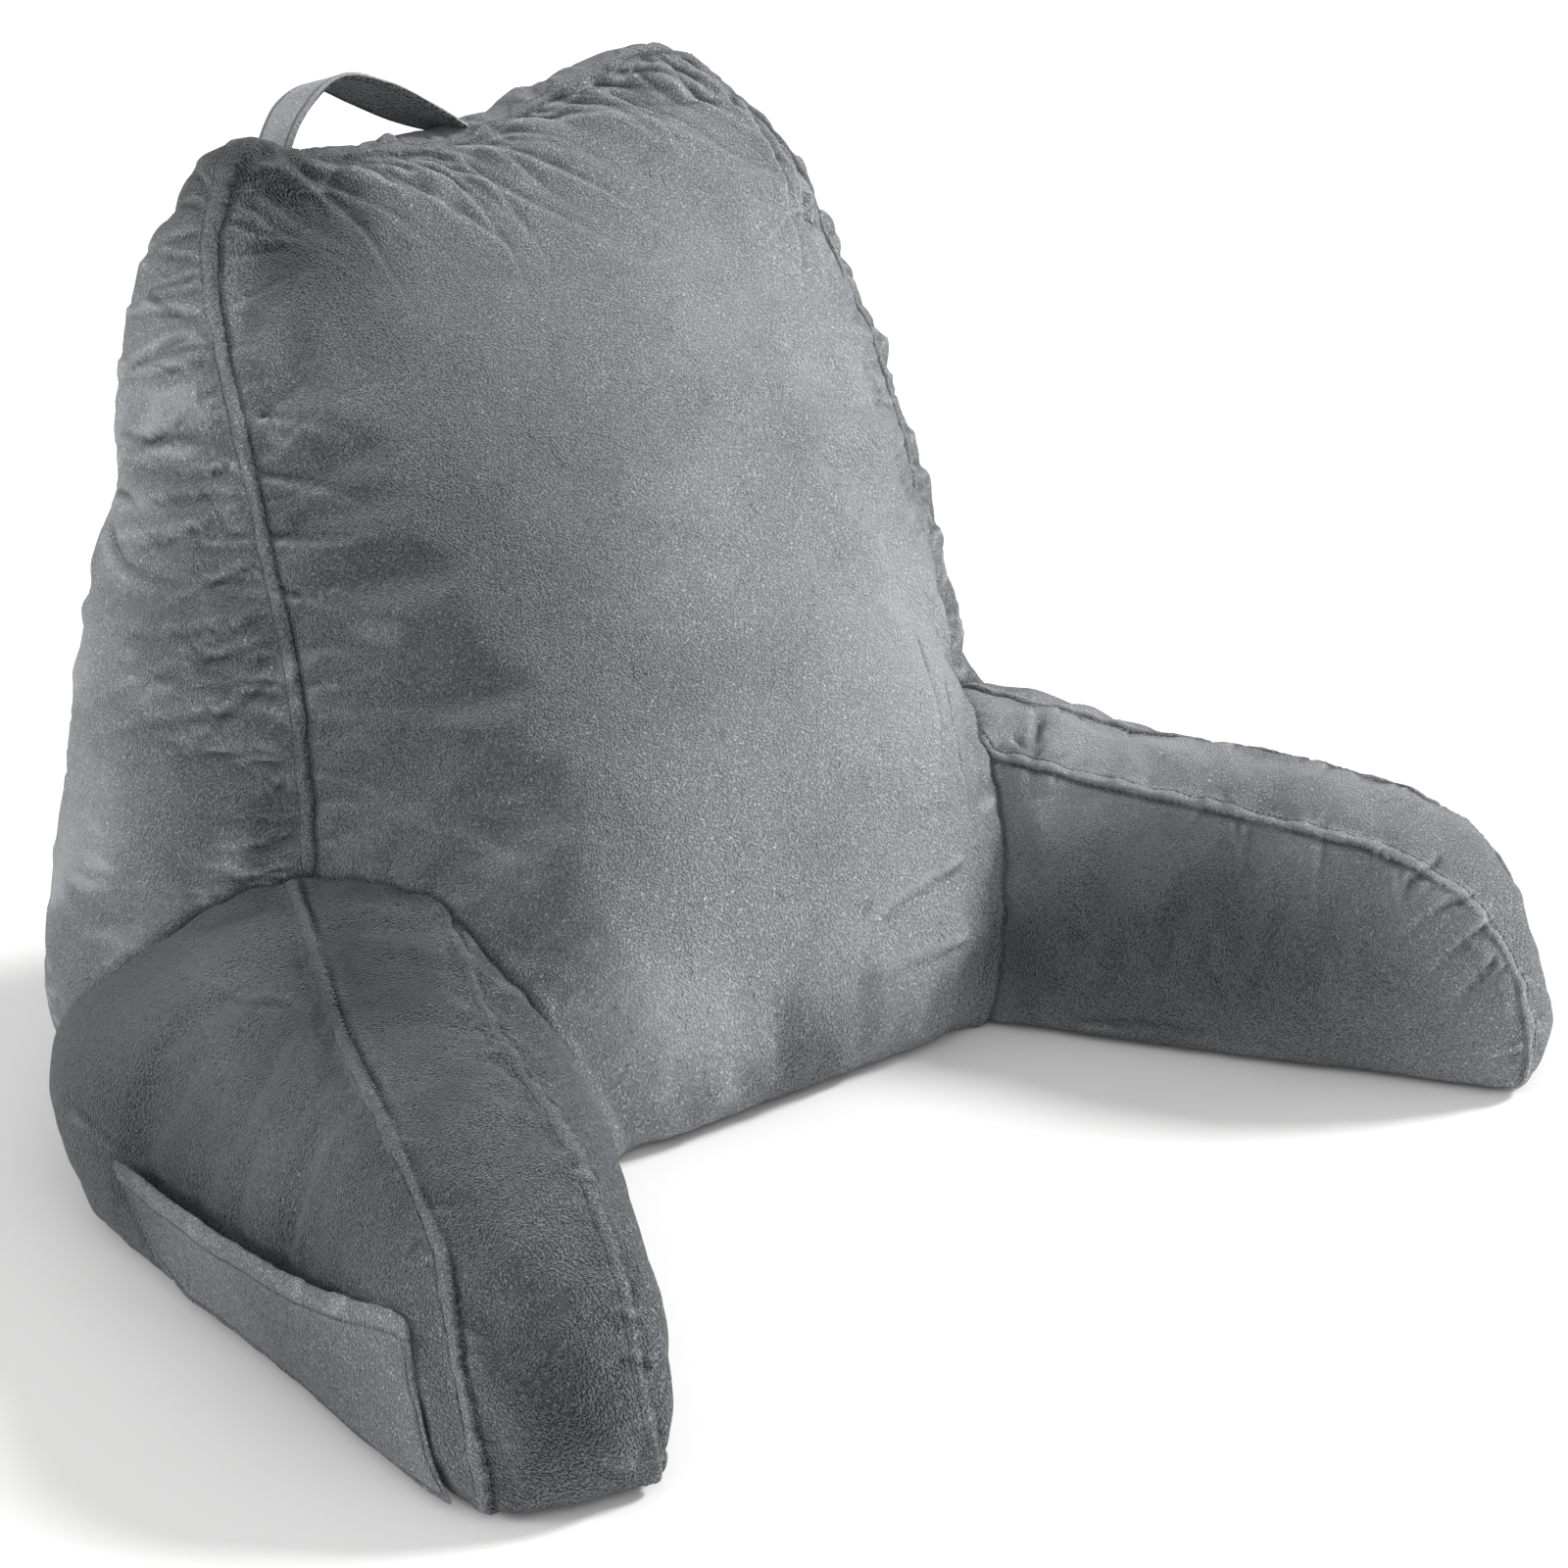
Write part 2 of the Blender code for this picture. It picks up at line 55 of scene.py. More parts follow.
MM = 0.001
MERGE = 1e-5
FLOOR = 0.0
FLOOR_REACH = 14.0
# Distance from a felled seam to its row of topstitches.
TOPSTITCH = 0.0071
# How near to its neighbour a cover counts as its root, and how near it is tucked in.
ROOT_REACH = 30 * MM
TUCK_REACH = 16 * MM

# The tables of places below are in whole millimetres.
# Seams of the backrest, from the floor up: half widths and depths of the seam between the front panel and
# the gusset, and of the seam between the gusset and the back panel.
Side = namedtuple("Side", "height front_x front_y back_x back_y")
BACKREST_SIDES = [
    Side(15, 240, 14, 252, 220),
    Side(50, 236, 24, 259, 231),
    Side(100, 227, 42, 256, 238),
    Side(150, 215, 59, 248, 243),
    Side(200, 211, 67, 238, 246),
    Side(250, 209, 77, 227, 248),
    Side(300, 208, 95, 216, 248),
    Side(350, 205, 117, 206, 246),
    Side(400, 199, 146, 196, 244),
    Side(440, 191, 167, 186, 241),
    Side(470, 178, 176, 173, 238),
]
# The same two seams over the top, from the left ear to the right one.
Top = namedtuple("Top", "x front_z back_z")
BACKREST_TOP = [
    Top(-157, 497, 462),
    Top(-138, 490, 466),
    Top(-113, 488, 467),
    Top(-75, 487, 467),
    Top(-38, 486, 467),
    Top(-6, 493, 471),
    Top(38, 508, 480),
    Top(66, 515, 487),
    Top(97, 523, 492),
    Top(129, 520, 488),
    Top(157, 499, 466),
]
BACKREST_TOP_FRONT_Y = 180
BACKREST_TOP_BACK_Y = 234

# Seams of the right arm, either side of its top band, from the backrest to the floor at its tip.
ARM_INNER_SEAM = [(176, 2, 138), (191, -36, 132), (210, -78, 130), (228, -122, 128),
                  (245, -170, 126), (261, -220, 124), (274, -260, 118), (283, -290, 103),
                  (292, -316, 78), (295, -330, 45), (292, -330, 10)]
ARM_OUTER_SEAM = [(233, 47, 146), (251, 8, 145), (272, -38, 140), (295, -90, 138),
                  (315, -140, 138), (332, -189, 134), (343, -228, 122), (349, -258, 101),
                  (358, -280, 65), (360, -296, 30), (357, -298, 8)]

# Edges of the pocket on the left arm: its mouth from the rear to the front, and its sewn edges.
POCKET_MOUTH = [(-369, 0, 55), (-381, -50, 62), (-385, -100, 66), (-384, -150, 69),
                (-381, -200, 74), (-368, -250, 79)]
POCKET_SEWN = [(-369, 0, 55), (-377, -30, 30), (-373, -66, 6), (-370, -150, 5),
               (-370, -230, 5), (-371, -284, 5), (-374, -272, 45), (-368, -250, 79)]

# Carry handle: the middle line of the strap in the plane of its loop, with both feet inside the cushion.
HANDLE_ROUTE = [(-133, 474), (-127, 491), (-113, 512), (-90, 524), (-64, 516),
                (-36, 502), (-11, 489), (10, 479)]
HANDLE_Y = 209
HANDLE_WIDTH = 0.032
HANDLE_THICKNESS = 0.0034
HANDLE_ROUNDED = 1.7 * MM
HANDLE_STITCHED = 3.2 * MM
# Its twist, the shares of its length between which it is twisted, and how far its middle sags and leans.
HANDLE_TWIST = math.radians(-30)
HANDLE_TWISTED = (0.22, 0.98)
HANDLE_SAG = 2 * MM
HANDLE_LEAN = 4 * MM


def colour(name, description, default):
    return StringProperty(name=name, description=description, default=default)


def number(name, description, default, low, high, **unit):
    return FloatProperty(name=name, description=description, default=default, min=low, max=high, **unit)


def metres(*values):
    return number(*values, unit="LENGTH")


def degrees(name, description, default):
    return FloatProperty(name=name, description=description, default=math.radians(default), subtype="ANGLE")


class PillowCloth(bpy.types.PropertyGroup):
    # Lit pile and shaded pile are lit and shaded copies of the one cloth: the two ends of the pile's colour
    # ramp, which carries the pile's own tone together with painted light and shade.
    lit: colour("Lit pile", "Colour of the pile where it is brushed towards the light", "#DADBE0")
    shade: colour("Shaded pile", "Colour of the pile where it is brushed away", "#1A1C20")
    # The crease colour is painted shade, laid in folds, seam creases and where the covers meet.
    crease: colour("Crease", "Colour at the bottom of folds and seams", "#121317")
    thread: colour("Thread", "Colour of the sewing thread", "#5E6065")
    pile: metres("Pile", "Height of the velour's pile", 0.0060, 0.0, 0.01)


class PillowSewing(bpy.types.PropertyGroup):
    band: metres("Band", "Width of a felled seam's flat band", 0.0085, 0.003, 0.02)
    rise: metres("Rise", "How far a felled seam stands above the cloth", 0.0013, 0.0, 0.005)
    crease: metres("Crease", "Depth of the crease beside a felled seam", 0.0016, 0.0, 0.008)
    stitch: metres("Stitch", "Length from one stitch to the next", 0.0034, 0.001, 0.01)
    hem: metres("Hem", "Width of the hem at the pocket's mouth", 0.010, 0.004, 0.03)


class PillowFilling(bpy.types.PropertyGroup):
    voxel: metres("Mesh", "Spacing of the cloth's mesh while it is stuffed", 0.0076, 0.003, 0.02)
    pressure: number("Pressure", "How hard the filling presses on the cover", 4.0, 0.0, 20.0)
    spare: number("Spare cloth", "Extra cloth between the seams, as a share", 0.06, 0.0, 0.3)
    frames: IntProperty(name="Frames", description="Frames over which the cover is stuffed", default=20,
                        min=2, max=60)
    cap: metres("Cap", "Farthest that stuffing may move the cover", 0.007, 0.0, 0.03)


class PillowStage(bpy.types.PropertyGroup):
    azimuth: degrees("Azimuth", "Camera's turn from straight in front", -39.44)
    elevation: degrees("Elevation", "Camera's height angle", 19.18)
    roll: degrees("Roll", "Camera's roll", -0.32)
    distance: metres("Distance", "Camera to its target", 1.6626, 0.1, 20.0)
    target: FloatVectorProperty(name="Target", description="What the camera looks at",
                                default=(0.0, -0.05, 0.22), subtype="XYZ")
    lens: number("Lens", "Focal length in millimetres", 72.7, 10.0, 300.0)
    shift: FloatVectorProperty(name="Shift", description="Shift of the picture", size=2,
                               default=(0.0079, -0.0548))
    floor: colour("Floor", "Colour of the floor", "#FAFAF9")
    ambient: number("Ambient", "Strength of the studio's even light", 0.58, 0.0, 10.0)


class ReadingPillow(bpy.types.PropertyGroup):
    cloth: PointerProperty(type=PillowCloth)
    sewing: PointerProperty(type=PillowSewing)
    filling: PointerProperty(type=PillowFilling)
    stage: PointerProperty(type=PillowStage)


def linear(hex_colour):
    """sRGB hex to the linear colour that shaders take."""
    parts = [int(hex_colour[i:i + 2], 16) / 255 for i in (1, 3, 5)]
    return tuple(c / 12.92 if c <= 0.04045 else ((c + 0.055) / 1.055) ** 2.4 for c in parts) + (1.0,)


def add_node(material, kind, settings=None, links=None):
    """Adds a shader node, sets its properties and inputs, and links its inputs from other nodes' outputs."""
    node = material.node_tree.nodes.new("ShaderNode" + kind)
    for key, value in (settings or {}).items():
        if isinstance(key, str) and hasattr(node, key) and key not in node.inputs:
            setattr(node, key, value)
        else:
            node.inputs[key].default_value = value
    for key, output in (links or {}).items():
        material.node_tree.links.new(output, node.inputs[key])
    return node


def read(items, name, width, kind=float):
    """A row of values for each vertex, edge or other item of a mesh."""
    values = np.empty(len(items) * width, dtype=kind)
    items.foreach_get(name, values)
    return values.reshape(-1, width)


def points_of(mesh):
    return read(mesh.vertices, "co", 3)


def normals_of(mesh):
    return read(mesh.vertex_normals, "vector", 3)


def put_points(mesh, points):
    mesh.vertices.foreach_set("co", np.ascontiguousarray(points, dtype=np.float32).ravel())
    mesh.update()


def edges_of(mesh):
    return read(mesh.edges, "vertices", 2, np.int32)


def relaxed(values, edges, rounds, free=None):
    """Moves each point's values half way to the mean of its neighbours, less where free is near 0."""
    values = values.copy()
    columns = values.reshape(len(values), -1)
    degree = np.bincount(edges.ravel(), minlength=len(values)).clip(1)
    weight = 0.5 if free is None else 0.5 * free
    for _ in range(rounds):
        for column in range(columns.shape[1]):
            old = columns[:, column]
            total = (np.bincount(edges[:, 0], weights=old[edges[:, 1]], minlength=len(values))
                     + np.bincount(edges[:, 1], weights=old[edges[:, 0]], minlength=len(values)))
            columns[:, column] = old + weight * (total / degree - old)
    return values


def smooth_line(points, spacing):
    """Places about one spacing apart on a smooth curve through points given in millimetres."""
    points = np.array(points, dtype=float) / 1000
    ends = [2 * points[0] - points[1], 2 * points[-1] - points[-2]]
    guide = np.vstack([ends[0], points, ends[1]])
    stretches = []
    for a, b, c, d in zip(guide, guide[1:], guide[2:], guide[3:]):
        count = max(2, round(np.linalg.norm(c - b) / spacing))
        t = (np.arange(count) / count)[:, None]
        stretches.append(0.5 * (2 * b + (c - a) * t + (2 * a - 5 * b + 4 * c - d) * t**2
                                + (3 * b - a - 3 * c + d) * t**3))
    return np.vstack(stretches + [points[-1:]])


def smooth_step(values, low, high):
    t = np.clip((values - low) / (high - low), 0.0, 1.0)
    return t * t * (3 - 2 * t)


def stretch(values, start, full, ease, end):
    """1 from full to ease, falling softly to 0 at the start and the end."""
    return smooth_step(values, start, full) * (1 - smooth_step(values, ease, end))


def within(limits, share):
    return limits[0] + (limits[1] - limits[0]) * share


def bell(distance, width):
    """Falls from 1 at no distance to about a third at the width."""
    return np.exp(-((distance / width) ** 2))


def grain(points, size, seed):
    """Soft random values between about -1 and 1 whose lumps are as large as size."""
    offset = Vector((seed * 7.31, seed * 3.17, seed * 5.77))
    return np.array([noise.noise(Vector(p) / size + offset) for p in points])


def between(at, marks, places):
    """The place on a line at a value, from the value of each of its places."""
    return np.array([np.interp(at, marks, places[:, axis]) for axis in range(3)])


def mesh_of(shape, name):
    """A new mesh from a bmesh, which is freed."""
    mesh = bpy.data.meshes.new(name)
    shape.to_mesh(mesh)
    shape.free()
    return mesh


def new_piece(name, mesh):
    piece = bpy.data.objects.new(name, mesh)
    bpy.context.scene.collection.objects.link(piece)
    return piece


def apply_modifiers(piece):
    """Bakes a piece's modifiers into its mesh."""
    depsgraph = bpy.context.evaluated_depsgraph_get()
    mesh = bpy.data.meshes.new_from_object(piece.evaluated_get(depsgraph))
    piece.modifiers.clear()
    old = piece.data
    piece.data = mesh
    mesh.name = piece.name
    bpy.data.meshes.remove(old)


def subdivide(piece, levels):
    finer = piece.modifiers.new("finer cloth", "SUBSURF")
    finer.levels = levels
    finer.render_levels = levels
    apply_modifiers(piece)


def merged_copy(node, name):
    """A copy of a CAD node as one closed mesh."""
    shape = bmesh.new()
    shape.from_mesh(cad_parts[node].data)
    bmesh.ops.remove_doubles(shape, verts=shape.verts, dist=MERGE)
    mesh = mesh_of(shape, name)
    mesh.materials.clear()
    return new_piece(name, mesh)


def surface_of(mesh):
    return BVHTree.FromPolygons([v.co for v in mesh.vertices], [p.vertices[:] for p in mesh.polygons])


def tree_of(points):
    tree = KDTree(len(points))
    for index, point in enumerate(points):
        tree.insert(point, index)
    tree.balance()
    return tree


def nearest(points, surfaces, limit):
    """Distance from each point to the nearest of some surfaces, up to a limit, and that surface's normal."""
    gaps = np.full(len(points), limit)
    ways = np.zeros((len(points), 3))
    for surface in surfaces:
        for index, point in enumerate(points):
            near = surface.find_nearest(Vector(point), limit)
            if near[0] is not None and near[3] < gaps[index]:
                gaps[index] = near[3]
                ways[index] = near[1]
    return gaps, ways


class Seam:
    """A sewn line laid on a piece: its places, its run, the way to its band and its distance along.

    It fades between the two faint heights, which by default are far above the pillow."""

    def __init__(self, mesh, line, towards, band, faint=(9.0, 10.0), reach=12 * MM):
        spacing = 3 * MM
        surface = surface_of(mesh)
        tree = tree_of(points_of(mesh))
        vertex_normals = normals_of(mesh)
        places = []
        for place in smooth_line(line, spacing):
            near = surface.find_nearest(Vector(place))
            if near[0] is not None and near[3] < reach:
                places.append(near[0])
        places = np.array(places)
        for _ in range(3):
            places[1:-1] = (places[:-2] + 2 * places[1:-1] + places[2:]) / 4
        self.places = places
        run = np.gradient(places, axis=0)
        self.run = run / np.linalg.norm(run, axis=1)[:, None]
        out = np.array([vertex_normals[[hit[1] for hit in tree.find_range(Vector(p), 3 * spacing)]
                                       or [tree.find(Vector(p))[1]]].mean(axis=0) for p in places])
        side = np.cross(self.run, out / np.linalg.norm(out, axis=1)[:, None])
        side /= np.linalg.norm(side, axis=1)[:, None]
        self.side = side * np.sign((side @ np.array(towards)).sum())
        self.along = np.concatenate([[0.0], np.linalg.norm(np.diff(places, axis=0), axis=1).cumsum()])
        self.band = band
        self.strength = 1 - 0.8 * smooth_step(places[:, 2], *faint)


# Added to the places along each further seam, so that no two seams are uneven in the same way.
SEAMS_APART = 3.0


def seam_distances(points, seams):
    """For each point the signed distance to the nearest seam, positive on the band's side, its place along
    the seam, and the seam's band width and strength there."""
    places, runs, sides, strengths = (np.concatenate([getattr(seam, name) for seam in seams])
                                      for name in ("places", "run", "side", "strength"))
    bands = np.concatenate([np.full(len(seam.places), seam.band) for seam in seams])
    alongs = np.concatenate([seam.along + SEAMS_APART * number for number, seam in enumerate(seams)])
    tree = tree_of(places)
    at = np.array([tree.find(Vector(p))[1] for p in points])
    gap = points - places[at]
    forward = (gap * runs[at]).sum(axis=1)
    across = np.linalg.norm(gap - forward[:, None] * runs[at], axis=1)
    sign = np.where((gap * sides[at]).sum(axis=1) >= 0, 1.0, -1.0)
    past_the_end = np.abs(forward) > 6 * MM
    distance = sign * np.where(past_the_end, np.linalg.norm(gap, axis=1), across)
    return distance, alongs[at] + forward, bands[at], strengths[at]


def uneven(along, size, row):
    """Soft random values between about -1 and 1 along a seam."""
    return np.array([noise.noise(Vector((place / size, *row))) for place in along])


def felled_profile(distance, along, band, strength, rise, crease):
    """Height of a felled seam: a crease at the seam line, then a flat raised band with a topstitched edge."""
    drawn = uneven(along, 0.011, (0.0, 5.0))
    slow = uneven(along, 0.045, (3.0, 9.0))
    plateau = stretch(distance, -0.6 * MM, 1.2 * MM, band - 0.8 * MM, band + 1.8 * MM)
    valley = bell(distance + 1.0 * MM, 1.3 * MM)
    stitched = bell(distance - band + 1.4 * MM, 1.0 * MM)
    height = rise * (1 + 0.5 * drawn) * plateau - crease * (1 + 0.5 * slow) * valley - 0.9 * rise * stitched
    return strength * height


def laid_line(surface, start, way, length, bend):
    """A line on the surface from a start, in a direction, that bends evenly."""
    steps = 5
    place = Vector(start)
    way = Vector(way)
    line = [place.copy()]
    for _ in range(steps):
        place = place + way * (length / steps)
        near = surface.find_nearest(place)
        place = near[0]
        way = (way - near[1] * way.dot(near[1])).normalized()
        way = (Matrix.Rotation(bend / steps, 3, near[1]) @ way).normalized()
        line.append(place.copy())
    return line


# Puckers that a seam draws in beside it: spacing, shortest and longest, narrowest and widest, shallowest and
# deepest, their lean along the seam and their bend in radians, the side of the seam that they lie on (0 for
# both) and the heights between which they occur.
Gather = namedtuple("Gather", "seed spacing lengths widths depths lean bend side heights")


class Relief:
    """How far the cloth is raised at each point of a mesh, and where folds shade it or catch the light."""

    def __init__(self, mesh):
        self.points = points_of(mesh)
        self.normals = normals_of(mesh)
        self.surface = surface_of(mesh)
        self.tree = tree_of(self.points)
        self.height, self.shadow, self.lit = np.zeros((3, len(self.points)))

    def press(self, line, width, depth):
        """Presses one fold in along a line: a trough that dies out, with a soft ridge at its upper side."""
        line = np.array(line)
        middle = line.mean(axis=0)
        radius = np.linalg.norm(line - middle, axis=1).max() + 4 * width
        hits = np.array([hit[1] for hit in self.tree.find_range(Vector(middle), radius)], dtype=int)
        if not len(hits):
            return
        local = self.points[hits]
        lengths = np.linalg.norm(np.diff(line, axis=0), axis=1)
        reached = np.concatenate([[0.0], lengths.cumsum()])
        best = np.full(len(local), 1e9)
        share, signed = np.zeros((2, len(local)))
        for index, length in enumerate(lengths):
            run = (line[index + 1] - line[index]) / length
            gap = local - line[index]
            forward = np.clip(gap @ run, 0.0, length)
            apart = gap - forward[:, None] * run
            distance = np.linalg.norm(apart, axis=1)
            closer = distance < best
            best = np.where(closer, distance, best)
            share = np.where(closer, (reached[index] + forward) / reached[-1], share)
            way = (apart * np.cross(run, self.normals[hits])).sum(axis=1)
            signed = np.where(closer, np.where(way >= 0, distance, -distance), signed)
        taper = smooth_step(share, -0.02, 0.10) * (1 - np.clip(share, 0.0, 1.0)) ** 1.1
        apart = signed - 0.95 * width
        ridge = bell(apart, np.where(apart < 0, 0.5 * width, 1.8 * width))
        self.height[hits] += depth * taper * (0.75 * ridge - bell(signed, 0.45 * width))
        # Painted shade along the fold's trough and a painted highlight along its ridge.
        bold = min(depth / (1.6 * MM), 1.0)
        self.shadow[hits] += bold * taper * bell(signed, max(0.36 * width, 1.2 * MM))
        self.lit[hits] += bold * taper * bell(signed - 0.8 * width, max(0.40 * width, 1.3 * MM))

    def gather(self, seam, row):
        """Presses in one row of puckers, unevenly spread along a seam."""
        random = np.random.default_rng(row.seed)
        place = row.spacing * random.random()
        while place < seam.along[-1]:
            index = min(int(np.searchsorted(seam.along, place)), len(seam.places) - 1)
            which = row.side or (1 if random.random() < 0.5 else -1)
            side = which * seam.side[index]
            angle = random.normal(row.lean, 0.25)
            way = side * math.cos(angle) + seam.run[index] * math.sin(angle)
            start = seam.places[index] + side * (seam.band * 0.9 if which > 0 else 1.5 * MM)
            size = random.random() ** 1.6
            length = within(row.lengths, size)
            width = within(row.widths, 0.6 * size + 0.4 * random.random())
            depth = within(row.depths, 0.7 * size + 0.3 * random.random())
            bend = random.normal(row.bend, 0.3)
            if row.heights[0] <= seam.places[index][2] <= row.heights[1]:
                self.press(laid_line(self.surface, start, way, length, bend), width * MM, depth * MM)
            place += row.spacing * (0.35 + 1.3 * random.random())

    def lay(self, width, depth, *points):
        """Presses in one fold given as a line of points."""
        line = [self.surface.find_nearest(Vector(place))[0] for place in smooth_line(points, 6 * MM)]
        self.press(line, width * MM, depth * MM)


# How the cover's cloth behaves while it is stuffed.
CLOTH = {"quality": 4, "mass": 0.25, "tension_stiffness": 12, "compression_stiffness": 12,
         "shear_stiffness": 6, "bending_stiffness": 0.15, "use_pressure": True}


def stuffed(piece, free, filling):
    """Lets the cover fill out by cloth simulation and returns how far each point moves along its normal."""
    group = piece.vertex_groups.new(name="sewn down")
    for index, weight in enumerate(free):
        if weight < 0.999:
            group.add([index], 1 - weight, "REPLACE")
    modifier = piece.modifiers.new("filling", "CLOTH")
    settings = modifier.settings
    for name, value in CLOTH.items():
        setattr(settings, name, value)
    settings.uniform_pressure_force = filling.pressure
    settings.effector_weights.gravity = 0.0
    settings.vertex_group_mass = group.name
    settings.shrink_min = -filling.spare
    modifier.collision_settings.use_collision = False
    modifier.point_cache.frame_start = 1
    modifier.point_cache.frame_end = filling.frames
    start = points_of(piece.data)
    for number in range(1, filling.frames + 1):
        bpy.context.scene.frame_set(number)
    depsgraph = bpy.context.evaluated_depsgraph_get()
    moved = points_of(piece.evaluated_get(depsgraph).data)
    piece.modifiers.clear()
    piece.vertex_groups.clear()
    bpy.context.scene.frame_set(1)
    return ((moved - start) * normals_of(piece.data)).sum(axis=1)


def set_attribute(mesh, name, values):
    attribute = mesh.attributes.get(name) or mesh.attributes.new(name, "FLOAT", "POINT")
    attribute.data.foreach_set("value", np.ascontiguousarray(values, dtype=np.float32))


def refine_near(mesh, chosen):
    """Cuts every edge between two chosen points in half."""
    shape = bmesh.new()
    shape.from_mesh(mesh)
    shape.verts.ensure_lookup_table()
    edges = [e for e in shape.edges if chosen[e.verts[0].index] and chosen[e.verts[1].index]]
    bmesh.ops.subdivide_edges(shape, edges=edges, cuts=1, use_grid_fill=True, smooth=0.0)
    bmesh.ops.triangulate(shape, faces=[f for f in shape.faces if len(f.verts) > 4])
    shape.to_mesh(mesh)
    shape.free()
    mesh.update()


# Where the filling has gathered or gone slack: x, y, z, how far it reaches, and how far the cover stands out.
BULGES = [
    (215, 80, 200, 80, 6.0),
    (205, 130, 330, 75, 6.5),
    (180, 170, 440, 60, 9.0),
    (65, 190, 517, 35, 4.0),
    (-150, 200, 490, 30, 8.0),
    (-180, 205, 465, 30, 6.0),
    (-215, 215, 415, 28, -1.5),
    (-250, 210, 335, 45, -6.0),
    (-270, 200, 265, 30, 4.0),
    (-300, 175, 160, 50, -4.0),
    (-325, 130, 70, 40, 6.0),
    (-345, 115, 85, 35, 7.0),
    (-365, 70, 80, 45, 12.0),
    (-350, 0, 30, 50, -5.0),
    (-270, -220, 70, 60, 3.5),
    (335, -250, 110, 55, 6.5),
    (345, -270, 35, 40, -3.5),
    (300, -120, 140, 60, 1.5),
]


# Brushed patches of the pile together with painted light and shade: lighter towards the right of the front
# panel, a painted highlight along the gusset's left rim, and painted shade on the left arm's top, the right
# arm's inner side and low along the floor. x, y, z, how far it reaches, and how much lighter or darker it is.
PILE_AND_PAINTED_LIGHT_PATCHES = [
    (-68, 17, 278, 100, -0.10),
    (110, 90, 400, 110, 0.62),
    (125, -20, 220, 90, 0.88),
    (70, -80, 80, 80, 0.60),
    (-90, -80, 60, 60, 0.65),
    (-50, -60, 160, 50, 0.10),
    (-180, 66, 275, 115, -0.40),
    (-140, 145, 440, 60, -0.60),
    (-150, 178, 478, 40, -0.95),
    (-215, 175, 400, 60, 0.30),
    (-260, 125, 265, 45, -0.10),
    (-310, 150, 170, 50, 0.10),
    (-248, 215, 340, 35, 0.70),
    (-283, 208, 240, 40, 0.90),
    (-305, 190, 150, 45, 0.80),
    (-236, 196, 375, 25, 0.25),
    (-256, 176, 302, 26, 0.35),
    (-266, 165, 262, 26, 0.30),
    (-375, -20, 60, 45, -0.60),
    (-262, -66, 140, 60, -1.00),
    (-320, -210, 126, 50, -0.25),
    (-345, -130, 100, 60, 0.15),
    (-330, -310, 40, 60, 0.10),
    (-385, -170, 30, 70, -0.40),
    (240, -60, 150, 60, 0.60),
    (300, -200, 145, 70, 0.55),
    (178, -105, 60, 75, -0.68),
    (230, -215, 70, 80, -0.82),
    (43, 35, 316, 50, 0.24),
    (0, 22, 298, 40, 0.20),
    (10, -5, 254, 50, 0.24),
    (-22, -46, 186, 50, 0.24),
    (-39, -73, 130, 40, 0.14),
    (167, 68, 333, 40, 0.20),
    (-131, 65, 333, 45, -0.18),
    (-180, 18, 195, 45, -0.22),
    (-236, 72, 152, 32, -0.28),
    (-232, 80, 200, 35, -0.12),
    (-248, -10, 143, 35, -0.28),
    (-265, -170, 132, 40, -0.20),
    (-332, -318, 52, 36, -0.42),
    (-364, -286, 43, 28, 0.20),
    (-360, -246, 85, 35, 0.15),
    (-322, -28, 110, 45, 0.32),
    (-131, -72, 85, 32, 0.42),
    (0, -87, 22, 42, -0.55),
    (147, -92, 32, 36, -0.70),
    (177, -155, 7, 30, -0.30),
    (251, -103, 137, 45, 0.28),
    (205, -123, 103, 40, 0.18),
    (242, -194, 110, 45, 0.18),
    (275, -289, 96, 35, 0.20),
]


def spots(points, table):
    """The sum of a table's soft round spots at each point."""
    total = np.zeros(len(points))
    for x, y, z, reach, value in table:
        away = np.linalg.norm(points - np.array([x, y, z]) / 1000, axis=1)
        total += value * bell(away, reach / 1000)
    return total


def shifted(points, most, size, seeds):
    """The points moved about at random, so that what is read from them has uneven edges."""
    return points + most * np.stack([grain(points, size, seed) for seed in seeds], axis=1)


def painted_highlight_streaks(points, normals):
    """Light streaks where the pile of the sides has been stroked, painted as highlights where it catches the
    light, about level and 10 to 15 mm apart.
    """
    warped = shifted(points, 0.012, 0.060, (14, 15, 16))
    streaks = np.array([noise.noise(Vector((x / 0.040, y / 0.030, z / 0.0085))) for x, y, z in warped])
    patchy = smooth_step(grain(points, 0.050, 17), -0.2, 0.5)
    return np.clip(2.4 * streaks, 0.0, 1.0) ** 1.4 * patchy * smooth_step(np.abs(normals[:, 0]), 0.35, 0.75)


def brushed_and_painted_light(points):
    """How the pile lies, with painted light and shade: lighter above 0 and darker below, with uneven edges
    where it was brushed.
    """
    return spots(shifted(points, 0.015, 0.045, (11, 12, 13)), PILE_AND_PAINTED_LIGHT_PATCHES)


